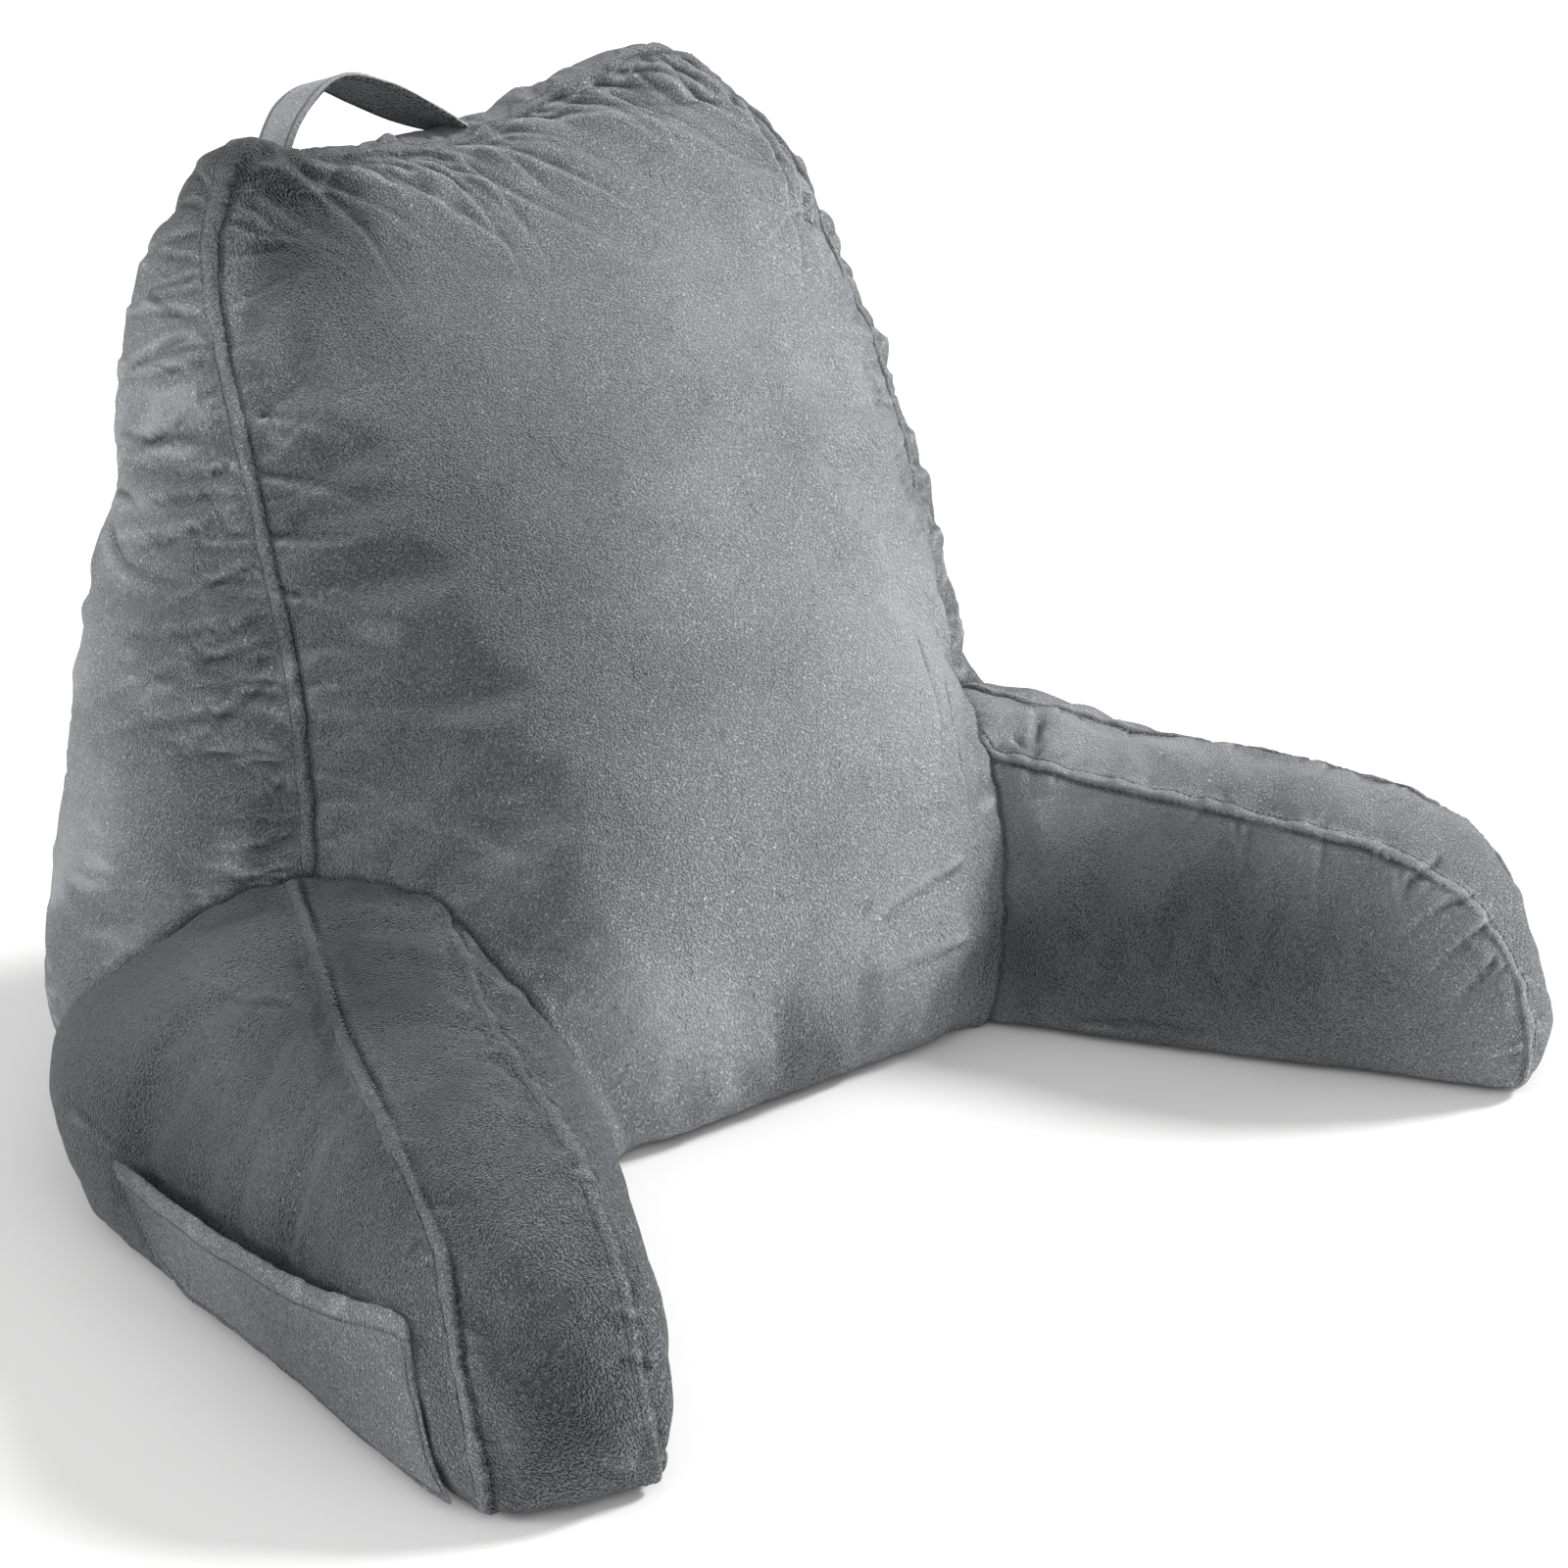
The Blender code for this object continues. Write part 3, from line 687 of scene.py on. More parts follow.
def evened_out(node, name, seam_lines, others, tuck):
    """A node's copy as an even mesh of cloth, its points, its seams and how free each point is to move."""
    pillow = bpy.context.scene.reading_pillow
    cover = merged_copy(node, name)
    remesh = cover.modifiers.new("even cloth", "REMESH")
    remesh.mode = "VOXEL"
    remesh.voxel_size = pillow.filling.voxel
    apply_modifiers(cover)
    mesh = cover.data
    seams = [Seam(mesh, line, towards, pillow.sewing.band, *faint) for line, towards, *faint in seam_lines]
    points = points_of(mesh)
    to_seam = np.abs(seam_distances(points, seams)[0])
    to_root = nearest(points, others, ROOT_REACH)[0]
    free = np.minimum(smooth_step(to_seam, 0.0, 9 * MM), smooth_step(to_root, 1 * MM, 8 * MM))
    loose = (0.30 + 0.70 * free) * smooth_step(to_root, 0.0, 8 * MM)
    points = relaxed(points, edges_of(mesh), 7, loose)
    if tuck:
        gaps, ways = nearest(points, others, TUCK_REACH)
        points = points - ways * tuck * (1 - gaps / TUCK_REACH)[:, None]
    points[:, 2] = np.maximum(points[:, 2], FLOOR)
    put_points(mesh, points)
    return cover, points, seams, free


def stuff(cover, points, free, filling):
    """Lets the filling wrinkle a cover, and leaves its form as it is."""
    mesh = cover.data
    on_floor = smooth_step(points[:, 2], 1 * MM, 12 * MM)
    moved = stuffed(cover, np.minimum(free, on_floor), filling)
    moved = np.clip(moved, -filling.cap, 2 * filling.cap)
    wrinkles = moved - relaxed(moved, edges_of(mesh), 40)
    wrinkles = np.clip(wrinkles, -filling.cap, filling.cap)
    put_points(mesh, points + normals_of(mesh) * wrinkles[:, None])


def sewn_cover(node, seam_lines, folds, gather_rows, neighbours, tones_and_painted_light, flare, tuck=0.0, fine=None):
    """Makes a stuffed cover in place of a node, with its seams, puckers and folds.

    seam_lines are (line, towards the band, and the heights between which the seam fades if it does).
    gather_rows has the rows of puckers of each seam. neighbours are the nodes that the cover is sewn to: it
    rises by the flare towards them, and a cover with a tuck reaches that far into them. The tone pair says
    how light the pile lies, partly its own tone and partly painted light and shade, and how much lighter the
    felled bands are, a painted highlight. fine chooses the points with a finer mesh."""
    pillow = bpy.context.scene.reading_pillow
    sewing = pillow.sewing
    others = [surface_of(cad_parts[other].data) for other in neighbours]
    cover, points, seams, free = evened_out(node, node + "_cover", seam_lines, others, tuck)
    stuff(cover, points, free, pillow.filling)
    subdivide(cover, 1)
    mesh = cover.data
    points = points_of(mesh)
    chosen = np.abs(seam_distances(points, seams)[0]) < 11 * MM
    chosen |= nearest(points, others, ROOT_REACH)[0] < 12 * MM
    if fine:
        chosen |= fine(points)
    refine_near(mesh, chosen)
    relief = Relief(mesh)
    points, normals = relief.points, relief.normals
    distance, along, band, strength = seam_distances(points, seams)
    distance = distance + 0.9 * MM * uneven(along, 0.018, (7.0, 2.0))
    for seam, rows in zip(seams, gather_rows):
        for row in rows:
            relief.gather(seam, row)
    for fold in folds:
        relief.lay(*fold)
    calm = smooth_step(np.abs(distance - 0.5 * band), 0.35 * band, 0.9 * band)
    height = relief.height * (1 - 0.7 * strength * (1 - calm))
    lumps = 1.3 * MM * grain(points, 0.055, 3) + 0.5 * MM * grain(points, 0.021, 4)
    height = height + lumps * calm
    # The arms' seams stand higher than the backrest's.
    rise = sewing.rise * (1.5 if tuck else 1.0)
    height = height + felled_profile(distance, along, band, strength, rise, sewing.crease)
    root = nearest(points, others, ROOT_REACH)[0]
    height = height * smooth_step(root, -1 * MM, 6 * MM) + flare * bell(root, 15 * MM)
    height = height + MM * (1.0 + spots(points, BULGES))
    low = smooth_step(points[:, 2], 0.5 * MM, 6 * MM)
    points = points + normals * (height * low)[:, None]
    points[:, 2] = np.maximum(points[:, 2], FLOOR)
    put_points(mesh, points)
    # Painted shade in the seam creases, in the troughs of the folds and where the cover meets its neighbours.
    valley = strength * bell(distance + 0.9 * MM, 1.9 * MM)
    shadow = 0.85 * relief.shadow + 1.0 * valley + 0.2 * bell(root, 4.5 * MM)
    set_attribute(mesh, "shadow", np.clip(shadow, 0.0, 1.0))
    set_attribute(mesh, "seam_side", np.clip(distance, -0.05, 0.05))
    bands = strength * stretch(distance, 0.0, 2 * MM, band - 1 * MM, band + 1 * MM)
    # The pile's tone carries its brushed patches together with painted light and shade, and painted
    # highlights on the ridges of the folds.
    pile_and_painted_light = brushed_and_painted_light(points) + 0.65 * np.clip(relief.lit, 0.0, 1.2)
    # Painted highlight streaks on the backrest's sides.
    if not tuck:
        pile_and_painted_light += 0.7 * painted_highlight_streaks(points, normals)
    # Each cover's own tone, partly painted light and shade, and a painted highlight on its felled bands.
    tone, painted_band_highlight = tones_and_painted_light
    set_attribute(mesh, "nap_and_painted_light", tone + pile_and_painted_light + painted_band_highlight * bands)
    finish_cloth(cover, node)
    stitch_rows(cover, seams, node + "_topstitching")


def finish_cloth(piece, node):
    """Smooths a piece of cloth, gives it its material, hides the node that it stands in for and attaches it
    to the root body.
    """
    piece.data.shade_smooth()
    piece.data.materials.append(material_of("velour", velour))
    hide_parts(node)
    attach(piece, "root")


def sew_roots(covers):
    """Draws a crisp seam line where a cover meets another: a groove pressed in, with painted shade along it.
    """
    surfaces = {cover.name: surface_of(cover.data) for cover in covers}
    for cover in covers:
        mesh = cover.data
        points = points_of(mesh)
        others = [surfaces[other.name] for other in covers if other is not cover]
        gap = nearest(points, others, 10 * MM)[0]
        shadow = read(mesh.attributes["shadow"].data, "value", 1)[:, 0]
        # Painted shade along the line where the covers meet.
        set_attribute(mesh, "shadow", np.maximum(shadow, bell(gap, 1.7 * MM)))
        put_points(mesh, points - normals_of(mesh) * (1.1 * MM * bell(gap, 2.2 * MM))[:, None])


def material_of(name, build):
    """The material of a name, whose nodes are built the first time that it is asked for."""
    material = bpy.data.materials.get(name)
    if not material:
        material = bpy.data.materials.new(name)
        material.use_nodes = True
        material.node_tree.nodes.clear()
        build(material)
    return material


def velour(material):
    """Short-pile polyester velour, knitted and shorn: a soft pile that lightens where it is brushed up, with
    painted light and shade laid into its colour.
    """
    cloth = bpy.context.scene.reading_pillow.cloth

    def add(kind, settings=None, links=None):
        return add_node(material, kind, settings, links)

    def attribute(called):
        return add("Attribute", {"attribute_name": called}).outputs["Fac"]

    def cloud(size, turn, detail, rough, bend=0.0):
        """Noise whose lumps have a real size in metres, along turned axes of the object."""
        laid = add("Mapping", {"vector_type": "TEXTURE", "Scale": size, "Rotation": turn}, {"Vector": place})
        return add("TexNoise", {"Scale": 1.0, "Detail": detail, "Roughness": rough, "Distortion": bend},
                   {"Vector": laid.outputs["Vector"]}).outputs["Fac"]

    def maths(operation, *values):
        node = add("Math", {"operation": operation})
        for socket, value in zip(node.inputs, values):
            if isinstance(value, float):
                socket.default_value = value
            else:
                material.node_tree.links.new(value, socket)
        return node.outputs[0]

    def weighed(total, *terms):
        """A value plus others, each times its weight."""
        for value, weight in terms:
            total = maths("ADD", total, maths("MULTIPLY", value, weight))
        return total

    def ranged(value, low, high, to_low, to_high):
        return add("MapRange", {"From Min": low, "From Max": high, "To Min": to_low, "To Max": to_high},
                   {"Value": value}).outputs[0]

    def darkened(share, light, dark):
        """The light colour where the share is 0 and the dark one where it is 1."""
        return add("Mix", {"data_type": "RGBA", 7: linear(dark)}, {0: share, 6: light}).outputs[2]

    # Brushed patches some 60 mm across and streaks of nap 14 mm long. The pile's tufts are 0.9 by 2.1 mm,
    # coarser than the real 0.5 mm so that they show, and lean to one side. Cracks in the nap, where the
    # cloth has been folded, are hair lines 3 to 15 mm long.
    place = add("TexCoord").outputs["Object"]
    straight = (0.0, 0.0, 0.0)
    patches = cloud((0.055, 0.055, 0.055), straight, 3.0, 0.6)
    streaks = cloud((0.0030, 0.0030, 0.0140), (0.0, -0.75, 0.2), 2.0, 0.6)
    tufts = ranged(cloud((0.0009, 0.0009, 0.0021), (0.0, -0.70, 0.3), 1.0, 0.5), 0.33, 0.67, 0.0, 1.0)
    cracks = cloud((0.011, 0.011, 0.034), (0.2, -0.85, 0.3), 2.0, 0.55, 0.7)
    cracked = cloud((0.019, 0.019, 0.019), straight, 2.0, 0.6)
    off_line = maths("ABSOLUTE", maths("SUBTRACT", cracks, 0.5))
    crack = maths("MULTIPLY", ranged(off_line, 0.0, 0.028, 1.0, 0.0), ranged(cracked, 0.54, 0.63, 0.0, 1.0))
    # The pile's brushed tone and the painted light and shade come into the colour here.
    tone = weighed(maths("MULTIPLY", patches, 0.20), (streaks, 0.15), (tufts, 0.32), (attribute("nap_and_painted_light"), 0.47))
    tone = weighed(maths("ADD", tone, 0.335), (crack, -0.12))
    nap_and_painted_light = add("ValToRGB", links={"Fac": tone})
    shade, lit = (np.array([int(c[i:i + 2], 16) for i in (1, 3, 5)]) for c in (cloth.shade, cloth.lit))
    for step in range(1, 6):
        mixed = np.round(shade + (lit - shade) * step / 6).astype(int)
        nap_and_painted_light.color_ramp.elements.new(step / 6).color = linear("#%02X%02X%02X" % tuple(mixed))
    nap_and_painted_light.color_ramp.elements[0].color = linear(cloth.shade)
    nap_and_painted_light.color_ramp.elements[-1].color = linear(cloth.lit)
    # Painted shade: the shadow attribute darkens the pile towards the crease colour in folds, seam creases
    # and where covers meet.
    shaded = darkened(maths("MULTIPLY", attribute("shadow"), 0.8), nap_and_painted_light.outputs["Color"], cloth.crease)
    # The seam's own line and its row of topstitches, drawn by the distance to the seam.
    reach = 12 * MM
    line = add("ValToRGB", links={"Fac": ranged(attribute("seam_side"), -reach, reach, 0.0, 1.0)})
    ramp = line.color_ramp
    ramp.elements[0].position = 0.0
    ramp.elements[1].position = 1.0
    ramp.elements[0].color = ramp.elements[1].color = (1.0, 1.0, 1.0, 1.0)
    half = 0.7 * MM
    for at, value in ((-1.4 * MM, 1.0), (-0.5 * MM, 0.35), (0.3 * MM, 1.0),
                      (TOPSTITCH - half, 1.0), (TOPSTITCH, 0.4), (TOPSTITCH + half, 1.0)):
        ramp.elements.new(0.5 + at / (2 * reach)).color = (value, value, value, 1.0)
    lined = add("Mix", {"data_type": "RGBA", 6: linear(cloth.crease)},
                {0: weighed(0.3, (line.outputs["Color"], 0.7)), 7: shaded})
    height = weighed(maths("MULTIPLY", tufts, 0.62), (streaks, 0.35), (crack, -0.45),
                     (line.outputs["Color"], 0.5))
    bump = add("Bump", {"Strength": 1.0, "Distance": cloth.pile}, {"Height": height})
    shader = add("BsdfPrincipled",
                 {"Roughness": 0.85, "Metallic": 0.0, "IOR": 1.46, "Specular IOR Level": 0.3,
                  "Sheen Weight": 0.5, "Sheen Roughness": 0.2, "Sheen Tint": (0.80, 0.81, 0.84, 1.0)},
                 {"Base Color": lined.outputs[2], "Normal": bump.outputs["Normal"]})
    add("OutputMaterial", links={"Surface": shader.outputs[0]})


def mirrored(line):
    return [(-x, y, z) for x, y, z in line]


# How low the back seam lies beside the front one.
BACK_SEAM_DROP = 0.93


def backrest_seam_line(which):
    """The backrest's front or back seam, up the left side, over the top and down the right side."""
    if which == "front":
        left = [(-row.front_x, row.front_y, row.height) for row in BACKREST_SIDES]
        top = [(row.x, BACKREST_TOP_FRONT_Y, row.front_z) for row in BACKREST_TOP]
    else:
        left = [(-row.back_x, row.back_y, row.height * BACK_SEAM_DROP) for row in BACKREST_SIDES]
        top = [(row.x, BACKREST_TOP_BACK_Y, row.back_z) for row in BACKREST_TOP]
    return left + top + mirrored(left)[::-1]


# Folds given one by one: width and depth, and the points that each runs through from where it is deepest.
BACKREST_FOLDS = [
    (5.0, 2.6, (-108, 177, 487), (-76, 175, 481), (-45, 170, 468)),
    (5.0, 2.4, (-80, 179, 487), (-50, 177, 478), (-25, 159, 457), (-3, 135, 433)),
    (4.0, 2.2, (-68, 183, 486), (-43, 178, 481), (-24, 168, 470), (0, 152, 453)),
    (4.5, 2.4, (-35, 184, 488), (-11, 176, 482), (12, 155, 458), (25, 143, 447)),
    (6.0, 2.4, (-111, 176, 483), (-90, 172, 478), (-64, 161, 459)),
    (4.0, 1.8, (3, 187, 499), (28, 176, 493), (51, 166, 483)),
    (4.5, 2.2, (32, 181, 504), (64, 170, 496), (83, 158, 482), (113, 151, 469)),
    (4.0, 1.8, (59, 180, 509), (88, 173, 506), (111, 167, 500)),
    (5.0, 2.6, (85, 178, 519), (105, 168, 501), (128, 164, 488)),
    (4.5, 2.4, (103, 177, 521), (130, 172, 505), (155, 170, 482)),
    (10.0, 3.0, (-157, 179, 477), (-139, 173, 463), (-118, 152, 439)),
    (6.0, 5.0, (-251, 190, 312), (-255, 182, 302), (-255, 172, 294), (-251, 152, 290),
     (-242, 132, 288), (-226, 114, 290)),
    (5.0, 2.6, (-241, 190, 358), (-236, 154, 358), (-217, 128, 355)),
    (5.0, 2.4, (-215, 198, 425), (-211, 175, 419), (-202, 159, 414)),
    (5.0, 2.8, (-247, 197, 326), (-241, 145, 329), (-219, 118, 335)),
    (5.0, 2.4, (-232, 99, 271), (-258, 133, 263), (-267, 181, 258)),
    (6.0, 2.4, (-237, 91, 227), (-270, 128, 218), (-285, 177, 198)),
    (5.0, 2.2, (-205, 113, 346), (-179, 93, 338), (-154, 68, 325)),
    (5.5, 2.4, (-211, 102, 316), (-184, 78, 315), (-152, 63, 319)),
    (4.5, 1.8, (-197, 127, 373), (-174, 107, 367), (-152, 93, 362)),
    (4.5, 2.0, (-214, 93, 290), (-193, 74, 284), (-178, 53, 276)),
    (5.0, 1.6, (146, -24, 193), (141, -47, 148), (124, -72, 101)),
    (5.0, 1.6, (127, -18, 225), (128, -38, 184), (116, -59, 146)),
    (6.0, 1.8, (119, -73, 103), (71, -82, 98), (26, -85, 86)),
    (6.0, 1.6, (114, -80, 60), (61, -86, 62), (11, -87, 62)),
]
# How light the pile of each arm lies, partly its own tone and partly painted shade and light, and how much
# lighter its felled bands are, a painted highlight on the raised bands.
ARM_TONES_AND_PAINTED_LIGHT = {"arm_left": (-0.60, 0.35), "arm_right": (0.08, 0.45)}
ARM_FOLDS = {
    "arm_left": [
        (4.5, 2.2, (-291, -315, 75), (-304, -309, 82), (-314, -298, 89)),
        (4.5, 2.6, (-290, -322, 56), (-304, -318, 65), (-318, -308, 74)),
        (6.0, 2.6, (-312, -331, 12), (-320, -328, 20), (-336, -319, 33)),
        (4.5, 1.8, (-275, -265, 112), (-286, -257, 120), (-296, -241, 126)),
        (4.0, 1.6, (-243, -137, 129), (-234, -155, 120), (-233, -169, 113)),
        (5.0, 1.6, (-297, -50, 130), (-306, -10, 123), (-311, 29, 122)),
        (5.0, 1.8, (-362, 44, 63), (-366, 7, 59), (-363, -18, 61)),
    ],
    "arm_right": [
        (5.5, 4.5, (236, -11, 146), (205, -41, 138), (186, -55, 112)),
        (5.0, 3.0, (206, -22, 141), (202, -34, 139), (198, -52, 134)),
        (4.0, 3.2, (294, -300, 93), (275, -294, 81), (260, -282, 57)),
        (4.0, 3.0, (290, -290, 105), (271, -283, 100), (257, -266, 78)),
        (4.0, 2.6, (292, -265, 117), (270, -263, 108), (254, -251, 88)),
        (4.0, 3.0, (287, -312, 79), (273, -304, 60), (266, -297, 37)),
        (5.0, 2.0, (156, -120, 12), (188, -172, 15), (226, -232, 12)),
    ],
}


class PILLOW_OT_backrest(bpy.types.Operator):
    """Makes the stuffed backrest with its two felled seams and the gathers below the top"""
    bl_idname = "pillow.backrest"
    bl_label = "Backrest"

    def execute(self, context):
        # The heights between which both seams fade towards the top.
        fades = (0.470, 0.492)
        seams = [(backrest_seam_line("front"), (0, 1, 0), fades),
                 (backrest_seam_line("back"), (0, -1, 0), fades)]
        below, above, all_round = (0.02, 0.475), (0.475, 1.0), (0.02, 1.0)
        rows = [[Gather(21, 0.017, (0.014, 0.110), (2.4, 4.6), (0.3, 1.5), 0.10, 0.0, -1, below),
                 Gather(25, 0.0085, (0.040, 0.150), (2.8, 6.0), (0.9, 3.2), 0.05, 0.0, 1, below),
                 Gather(22, 0.0055, (0.030, 0.180), (2.2, 5.0), (0.8, 3.0), 1.12, -0.75, -1, above),
                 Gather(23, 0.012, (0.015, 0.045), (2.5, 5.0), (0.6, 2.0), 0.20, 0.0, 1, above)],
                [Gather(24, 0.009, (0.020, 0.110), (2.4, 5.8), (0.7, 2.8), 0.10, 0.0, 0, all_round)]]

        def top_front(points):
            """Where the fine gathers lie."""
            return (points[:, 2] > 0.40) & (points[:, 1] < 0.20)

        # The backrest's pile tone, and the painted highlight on its felled bands.
        sewn_cover("backrest", seams, BACKREST_FOLDS, rows, ("arm_left", "arm_right"),
                   tones_and_painted_light=(-0.10, 0.15), flare=6 * MM, fine=top_front)
        return {"FINISHED"}


class PILLOW_OT_arms(bpy.types.Operator):
    """Makes the two stuffed arms, each with a top band between two felled seams"""
    bl_idname = "pillow.arms"
    bl_label = "Arms"

    def execute(self, context):
        for node, hand in (("arm_left", -1), ("arm_right", 1)):
            inner, outer = (line if hand > 0 else mirrored(line) for line in (ARM_INNER_SEAM, ARM_OUTER_SEAM))
            seams = [(inner, (0.6 * hand, 0, 0.6)), (outer, (0.6 * hand, 0, -0.6))]
            heights = (0.01, 1.0)
            rows = [[Gather(31 + hand, 0.011, (0.010, 0.036), (2.4, 4.6), (0.4, 1.7), 0.3, 0.0, 0, heights)],
                    [Gather(41 + hand, 0.015, (0.010, 0.032), (2.4, 4.6), (0.3, 1.5), 0.3, 0.0, 0, heights)]]
            sewn_cover(node, seams, ARM_FOLDS[node], rows, ("backrest",),
                       tones_and_painted_light=ARM_TONES_AND_PAINTED_LIGHT[node], flare=4 * MM, tuck=9 * MM)
        sew_roots([bpy.data.objects[name + "_cover"] for name in ("backrest", "arm_left", "arm_right")])
        return {"FINISHED"}


def stitch_rows(cover, seams, name):
    """A row of topstitches along the band of each seam, joined as one piece."""
    pitch = bpy.context.scene.reading_pillow.sewing.stitch
    surface = surface_of(cover.data)
    thread = 0.32 * MM
    one = bmesh.new()
    bmesh.ops.create_uvsphere(one, u_segments=6, v_segments=4, radius=1.0,
                              matrix=Matrix.Diagonal((0.36 * pitch, thread, thread, 1.0))
                              @ Matrix.Rotation(math.pi / 2, 4, "Y"))
    stitch = mesh_of(one, "one_stitch")
    shape = bmesh.new()
    for seam in seams:
        for along in np.arange(pitch, seam.along[-1], pitch):
            place = between(along, seam.along, seam.places)
            index = min(int(np.searchsorted(seam.along, along)), len(seam.places) - 1)
            spot = surface.find_nearest(Vector(place + seam.side[index] * TOPSTITCH))
            if spot[0] is None or spot[0].z < 2 * MM:
                continue
            run = Vector(seam.run[index])
            out = spot[1]
            run = (run - out * run.dot(out)).normalized()
            turn = Matrix((run, out.cross(run), out)).transposed().to_4x4()
            turn.translation = spot[0] + out * 0.05 * MM
            stitch.transform(turn)
            shape.from_mesh(stitch)
            stitch.transform(turn.inverted())
    bpy.data.meshes.remove(stitch)
    mesh = mesh_of(shape, name)
    mesh.shade_smooth()
    mesh.materials.append(material_of("sewing_thread", sewing_thread))
    piece = new_piece(name, mesh)
    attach(piece, "root")


def sewing_thread(material):
    """Polyester sewing thread, spun and slightly glossy, in the cloth's own grey."""
    place = add_node(material, "TexCoord").outputs["Object"]
    turns = add_node(material, "TexNoise", {"Scale": 1 / 0.0008, "Detail": 1.0}, {"Vector": place})
    thread = linear(bpy.context.scene.reading_pillow.cloth.thread)
    darker = tuple(0.6 * c for c in thread[:3]) + (1.0,)
    colour = add_node(material, "Mix", {"data_type": "RGBA", 6: darker, 7: thread}, {0: turns.outputs["Fac"]})
    shader = add_node(material, "BsdfPrincipled", {"Roughness": 0.6, "Sheen Weight": 0.3},
                      {"Base Color": colour.outputs[2]})
    add_node(material, "OutputMaterial", links={"Surface": shader.outputs[0]})


def block(cuts_u, cuts_v, cuts_w):
    """A closed unit block whose faces are cut into a grid at fractions of its three sides."""
    grid = bmesh.new()
    bmesh.ops.create_cube(grid, size=1.0, matrix=Matrix.Translation((0.5, 0.5, 0.5)))
    for axis, cuts in enumerate((cuts_u, cuts_v, cuts_w)):
        normal = Vector((0, 0, 0))
        normal[axis] = 1.0
        for cut in cuts:
            everything = grid.verts[:] + grid.edges[:] + grid.faces[:]
            bmesh.ops.bisect_plane(grid, geom=everything, plane_co=normal * cut, plane_no=normal, dist=1e-6)
    return grid


class PILLOW_OT_handle(bpy.types.Operator):
    """Makes the carry handle, a strap of folded velour stitched along both edges"""
    bl_idname = "pillow.handle"
    bl_label = "Carry handle"

    def execute(self, context):
        route = smooth_line([(x, HANDLE_Y, z) for x, z in HANDLE_ROUTE], 1 * MM)
        marks = np.arange(len(route))
        columns = 22
        steps = 96
        first, last = HANDLE_TWISTED
        grid = block([i / columns for i in range(1, columns)], [i / steps for i in range(1, steps)], [0.5])
        edges, shaded_underside = [], []
        for vertex in grid.verts:
            u, v, w = vertex.co
            index = v * (len(route) - 1)
            here, ahead, behind = (between(index + step, marks, route) for step in (0, 2, -2))
            run = Vector(ahead - behind).normalized()
            out = run.cross(Vector((0, 1, 0))).normalized()
            across = (0.5 - u) * HANDLE_WIDTH
            turned = min(max((v - first) / (last - first), 0.0), 1.0)
            turn = HANDLE_TWIST * math.sin(math.pi * turned) ** 1.5
            edge = HANDLE_WIDTH / 2 - abs(across)
            rounded = math.sqrt(max(0.0, 1 - max(0.0, 1 - edge / HANDLE_ROUNDED) ** 2))
            puffed = 1.0 - 0.35 * bell(edge - HANDLE_STITCHED, 0.9 * MM)
            puffed += 0.10 * noise.noise(Vector((u * 3, v * 18, 0)))
            thickness = HANDLE_THICKNESS * (0.25 + 0.75 * rounded) * puffed
            high = math.sin(math.pi * v)
            ripple = 0.5 * MM * noise.noise(Vector((u * 2.0, v * 9, 4.0))) * high
            twisted = Matrix.Rotation(turn, 3, run)
            wide = twisted @ Vector((0, 1, 0))
            place = Vector(here) + wide * across + twisted @ out * ((w - 0.5) * thickness + ripple)
            place.z -= HANDLE_SAG * high
            place.x -= HANDLE_LEAN * high
            vertex.co = place
            edges.append(edge)
            shaded_underside.append(w < 0.4)
        bmesh.ops.recalc_face_normals(grid, faces=grid.faces)
        mesh = mesh_of(grid, "handle_strap")
        edges = np.array(edges)
        # The row of stitches that the velour draws comes to lie beside the strap's edges.
        set_attribute(mesh, "seam_side", edges + context.scene.reading_pillow.sewing.band - 4.8 * MM)
        set_attribute(mesh, "shadow", 0.7 * bell(edges - HANDLE_STITCHED, 1.1 * MM))
        # Painted shade on the strap's underside and painted light on its outer face.
        set_attribute(mesh, "nap_and_painted_light", np.where(shaded_underside, -0.85, 1.00))
        strap = new_piece("handle_strap", mesh)
        finish_cloth(strap, "carry_handle")
        return {"FINISHED"}


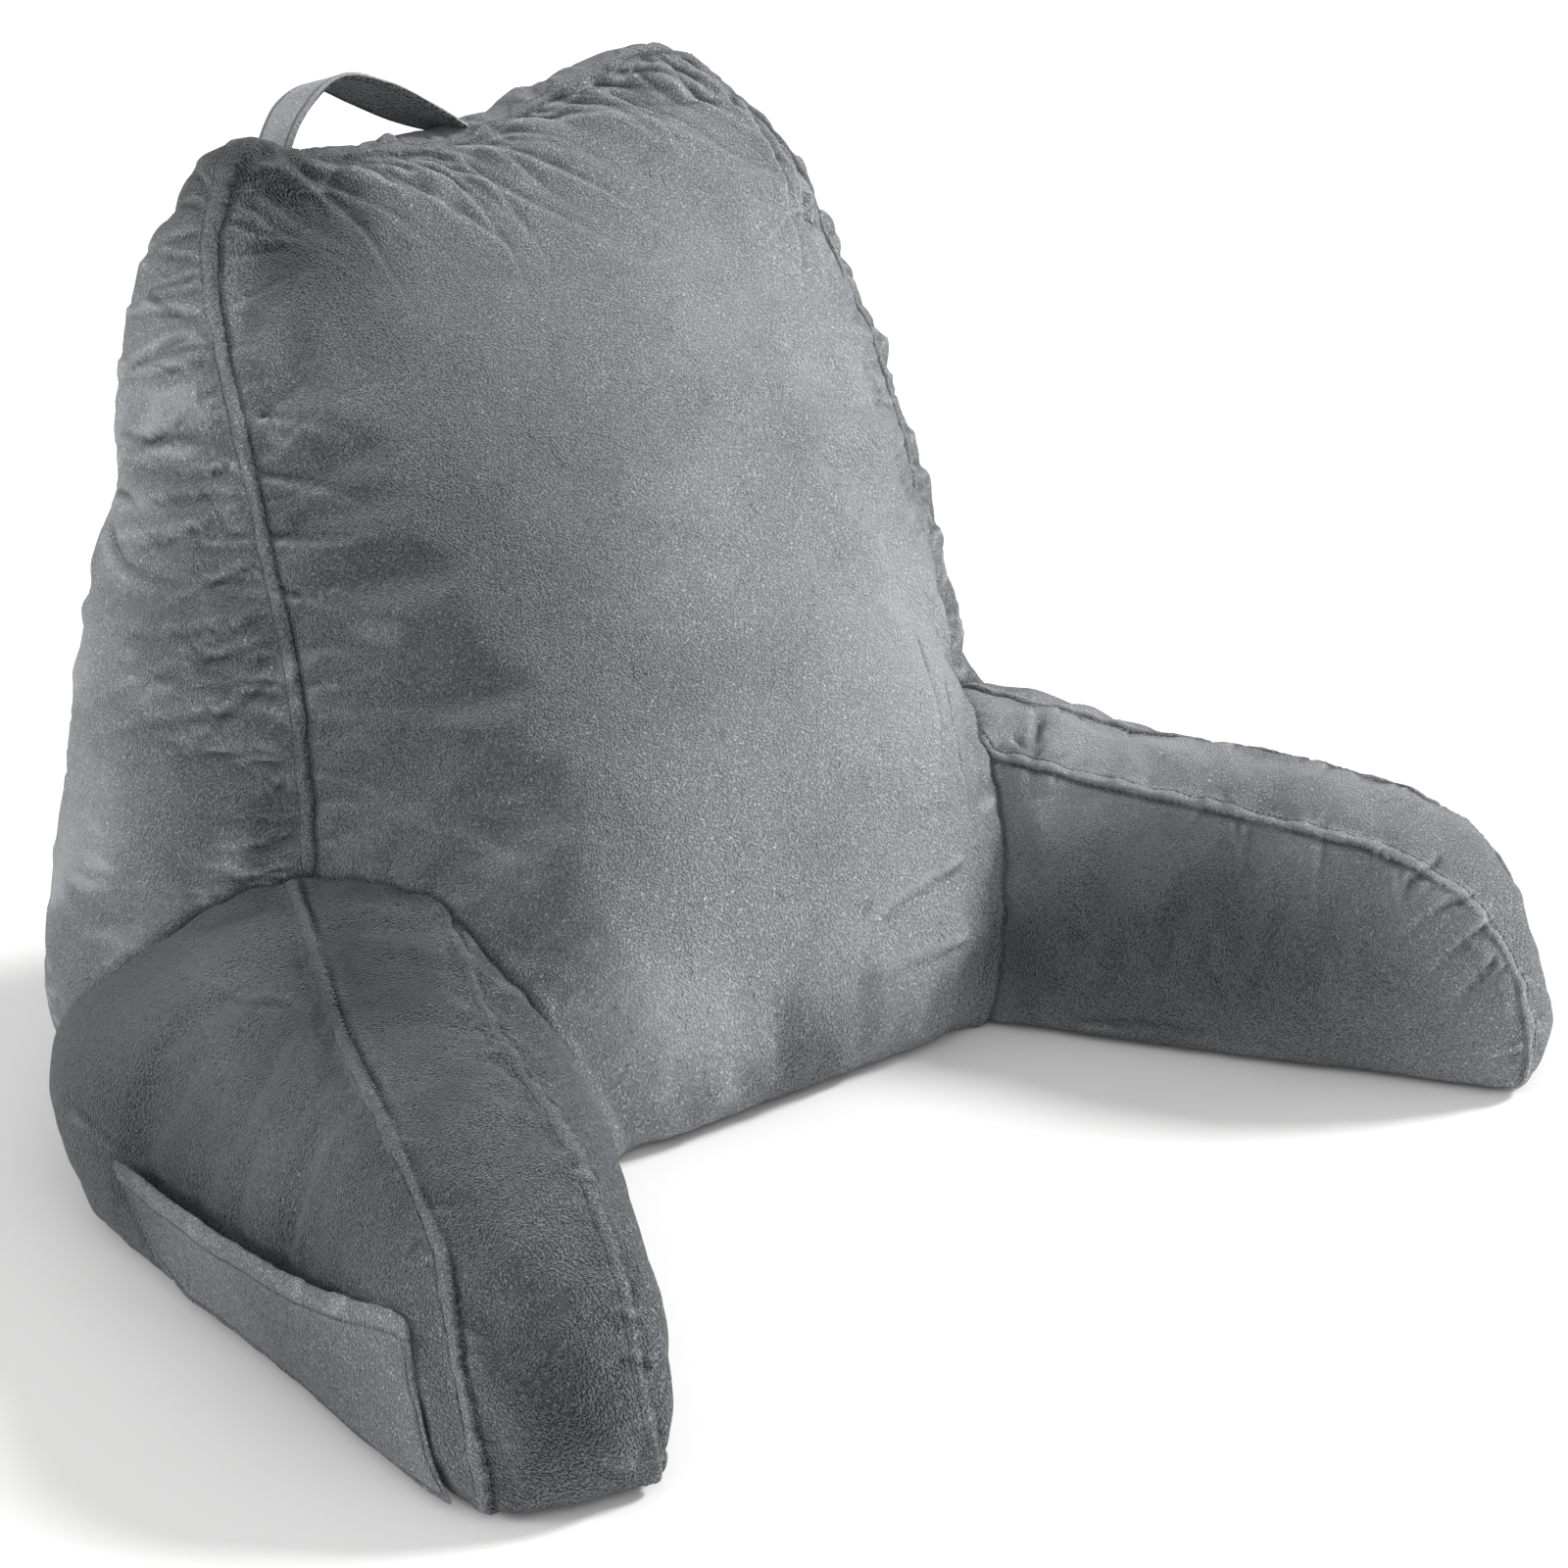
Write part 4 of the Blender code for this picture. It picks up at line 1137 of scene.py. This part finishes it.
class PILLOW_OT_pocket(bpy.types.Operator):
    """Makes the slip pocket on the left arm, hemmed along its mouth and sewn down along its other edges"""
    bl_idname = "pillow.pocket"
    bl_label = "Side pocket"

    def execute(self, context):
        sewing = context.scene.reading_pillow.sewing
        pocket = merged_copy("side_pocket", "pocket_sheet")
        shape = bmesh.new()
        shape.from_mesh(pocket.data)
        bmesh.ops.join_triangles(shape, faces=shape.faces, angle_face_threshold=0.7,
                                 angle_shape_threshold=1.2)
        shape.to_mesh(pocket.data)
        shape.free()
        subdivide(pocket, 2)
        mesh = pocket.data
        hem = Seam(mesh, POCKET_MOUTH, (0, 0, -1), sewing.hem, reach=20 * MM)
        sewn = Seam(mesh, POCKET_SEWN, (0, 0.3, 0.5), 3.5 * MM, reach=20 * MM)
        relief = Relief(mesh)
        points, normals = relief.points, relief.normals
        from_mouth, from_edge = (np.abs(seam_distances(points, [seam])[0]) for seam in (hem, sewn))
        outer = normals[:, 0] < 0.0
        for row in (Gather(51, 0.010, (0.012, 0.040), (2.6, 4.6), (0.5, 1.8), 0.2, 0.0, 1, (0.0, 1.0)),
                    Gather(52, 0.004, (0.006, 0.014), (1.4, 2.4), (0.6, 1.2), 0.1, 0.0, 1, (0.071, 1.0))):
            relief.gather(hem, row)
        height = relief.height + 0.9 * MM * grain(points, 0.018, 8)
        hemmed = 1 - smooth_step(from_mouth, sewing.hem - 0.8 * MM, sewing.hem + 1.0 * MM)
        to_hem_stitches = from_mouth - sewing.hem + 1.8 * MM
        to_edge_stitches = from_edge - 3.0 * MM
        stitched = bell(to_hem_stitches, 1.0 * MM)
        edge_line = bell(to_edge_stitches, 1.2 * MM) * (from_mouth > sewing.hem)
        height = height + 1.1 * MM * hemmed - 0.9 * MM * stitched - 0.9 * MM * edge_line
        height = np.where(outer, height, 0.0)
        gape = 3 * MM * bell(from_mouth, 18 * MM) * smooth_step(from_edge, 4 * MM, 45 * MM)
        outwards = np.array([-0.96, -0.05, 0.20])
        moved = points + normals * height[:, None] + outwards * gape[:, None]
        arm = surface_of(bpy.data.objects["arm_left_cover"].data)
        for index, point in enumerate(moved):
            near = arm.find_nearest(Vector(point), 0.03)
            if near[0] is None:
                continue
            above = (Vector(point) - near[0]).dot(near[1])
            least = 2.4 * MM if outer[index] else 0.5 * MM
            if above < least:
                moved[index] = point + np.array(near[1]) * (least - above)
        moved[:, 2] = np.maximum(moved[:, 2], 1.0 * MM)
        put_points(mesh, moved)
        to_line = np.where(from_mouth < 1.6 * sewing.hem, to_hem_stitches, to_edge_stitches)
        set_attribute(mesh, "seam_side", np.clip(to_line + TOPSTITCH, 0.5 * MM, 0.05))
        # Painted shade on the pocket's inner face; on its outer face, darker stitch lines.
        shadow = 0.8 * relief.shadow + np.where(outer, 0.65 * np.maximum(stitched, edge_line), 0.4)
        set_attribute(mesh, "shadow", np.clip(shadow, 0.0, 1.0))
        # Painted highlights on the ridges of the puckers, and a lighter hem.
        lit = 0.6 * np.clip(relief.lit, 0.0, 1.2)
        set_attribute(mesh, "nap_and_painted_light", brushed_and_painted_light(points) - 0.12 + lit + 0.12 * hemmed)
        finish_cloth(pocket, "side_pocket")
        return {"FINISHED"}


# Soft boxes: the way to each one, its spread in degrees and its power.
STUDIO_LIGHTS = [
    ("key", (0.82, -0.20, 0.58), 12.0, 3.1),
    ("left", (-0.78, 0.55, 0.30), 16.0, 1.65),
    ("front", (-0.15, -0.80, 0.60), 60.0, 0.35),
]


class PILLOW_OT_stage(bpy.types.Operator):
    """Sets a plain pale floor, soft studio light and the camera"""
    bl_idname = "pillow.stage"
    bl_label = "Stage"

    def execute(self, context):
        stage = context.scene.reading_pillow.stage
        shape = bmesh.new()
        bmesh.ops.create_grid(shape, x_segments=1, y_segments=1, size=FLOOR_REACH,
                              matrix=Matrix.Translation((0, 0, -0.5 * MM)))
        mesh = mesh_of(shape, "floor")
        floor = new_piece("floor", mesh)
        material = bpy.data.materials.new("matt_paper")
        material.use_nodes = True
        shader = material.node_tree.nodes["Principled BSDF"]
        shader.inputs["Base Color"].default_value = linear(stage.floor)
        shader.inputs["Roughness"].default_value = 0.9
        mesh.materials.append(material)
        world = context.scene.world or bpy.data.worlds.new("studio")
        context.scene.world = world
        world.use_nodes = True
        background = world.node_tree.nodes["Background"]
        background.inputs["Color"].default_value = (1.0, 1.0, 1.0, 1.0)
        background.inputs["Strength"].default_value = stage.ambient
        for name, place, spread, power in STUDIO_LIGHTS:
            light = bpy.data.lights.new(name, "SUN")
            light.angle = math.radians(spread)
            light.energy = power
            lamp = bpy.data.objects.new(name, light)
            lamp.matrix_world = Vector(place).to_track_quat("Z", "Y").to_matrix().to_4x4()
            context.scene.collection.objects.link(lamp)
        context.scene.view_settings.view_transform = "Standard"
        camera_data = bpy.data.cameras.new("camera")
        camera_data.lens = stage.lens
        camera_data.sensor_width = 36.0
        camera_data.shift_x, camera_data.shift_y = stage.shift
        camera = bpy.data.objects.new("camera", camera_data)
        camera.matrix_world = (Matrix.Translation(stage.target)
                               @ Matrix.Rotation(stage.azimuth, 4, "Z")
                               @ Matrix.Rotation(math.pi / 2 - stage.elevation, 4, "X")
                               @ Matrix.Rotation(stage.roll, 4, "Z")
                               @ Matrix.Translation((0, 0, stage.distance)))
        context.scene.collection.objects.link(camera)
        context.scene.camera = camera
        return {"FINISHED"}


class PILLOW_PT_panel(bpy.types.Panel):
    bl_label = "Reading Pillow"
    bl_idname = "PILLOW_PT_panel"
    bl_space_type = "VIEW_3D"
    bl_region_type = "UI"
    bl_category = "Reading Pillow"

    def draw(self, context):
        pillow = context.scene.reading_pillow
        for group in (pillow.cloth, pillow.sewing, pillow.filling, pillow.stage):
            box = self.layout.box()
            for name in group.__annotations__:
                box.prop(group, name)
        for operator in OPERATORS:
            self.layout.operator(operator.bl_idname)


OPERATORS = (PILLOW_OT_stage, PILLOW_OT_backrest, PILLOW_OT_arms, PILLOW_OT_handle, PILLOW_OT_pocket)
CLASSES = (PillowCloth, PillowSewing, PillowFilling, PillowStage, ReadingPillow,
           *OPERATORS, PILLOW_PT_panel)


def register():
    for cls in CLASSES:
        bpy.utils.register_class(cls)
    bpy.types.Scene.reading_pillow = PointerProperty(type=ReadingPillow)


def unregister():
    del bpy.types.Scene.reading_pillow
    for cls in reversed(CLASSES):
        bpy.utils.unregister_class(cls)


def main():
    register()
    bpy.ops.pillow.stage()
    bpy.ops.pillow.backrest()
    bpy.ops.pillow.arms()
    bpy.ops.pillow.handle()
    bpy.ops.pillow.pocket()


if __name__ == "__main__":
    main()
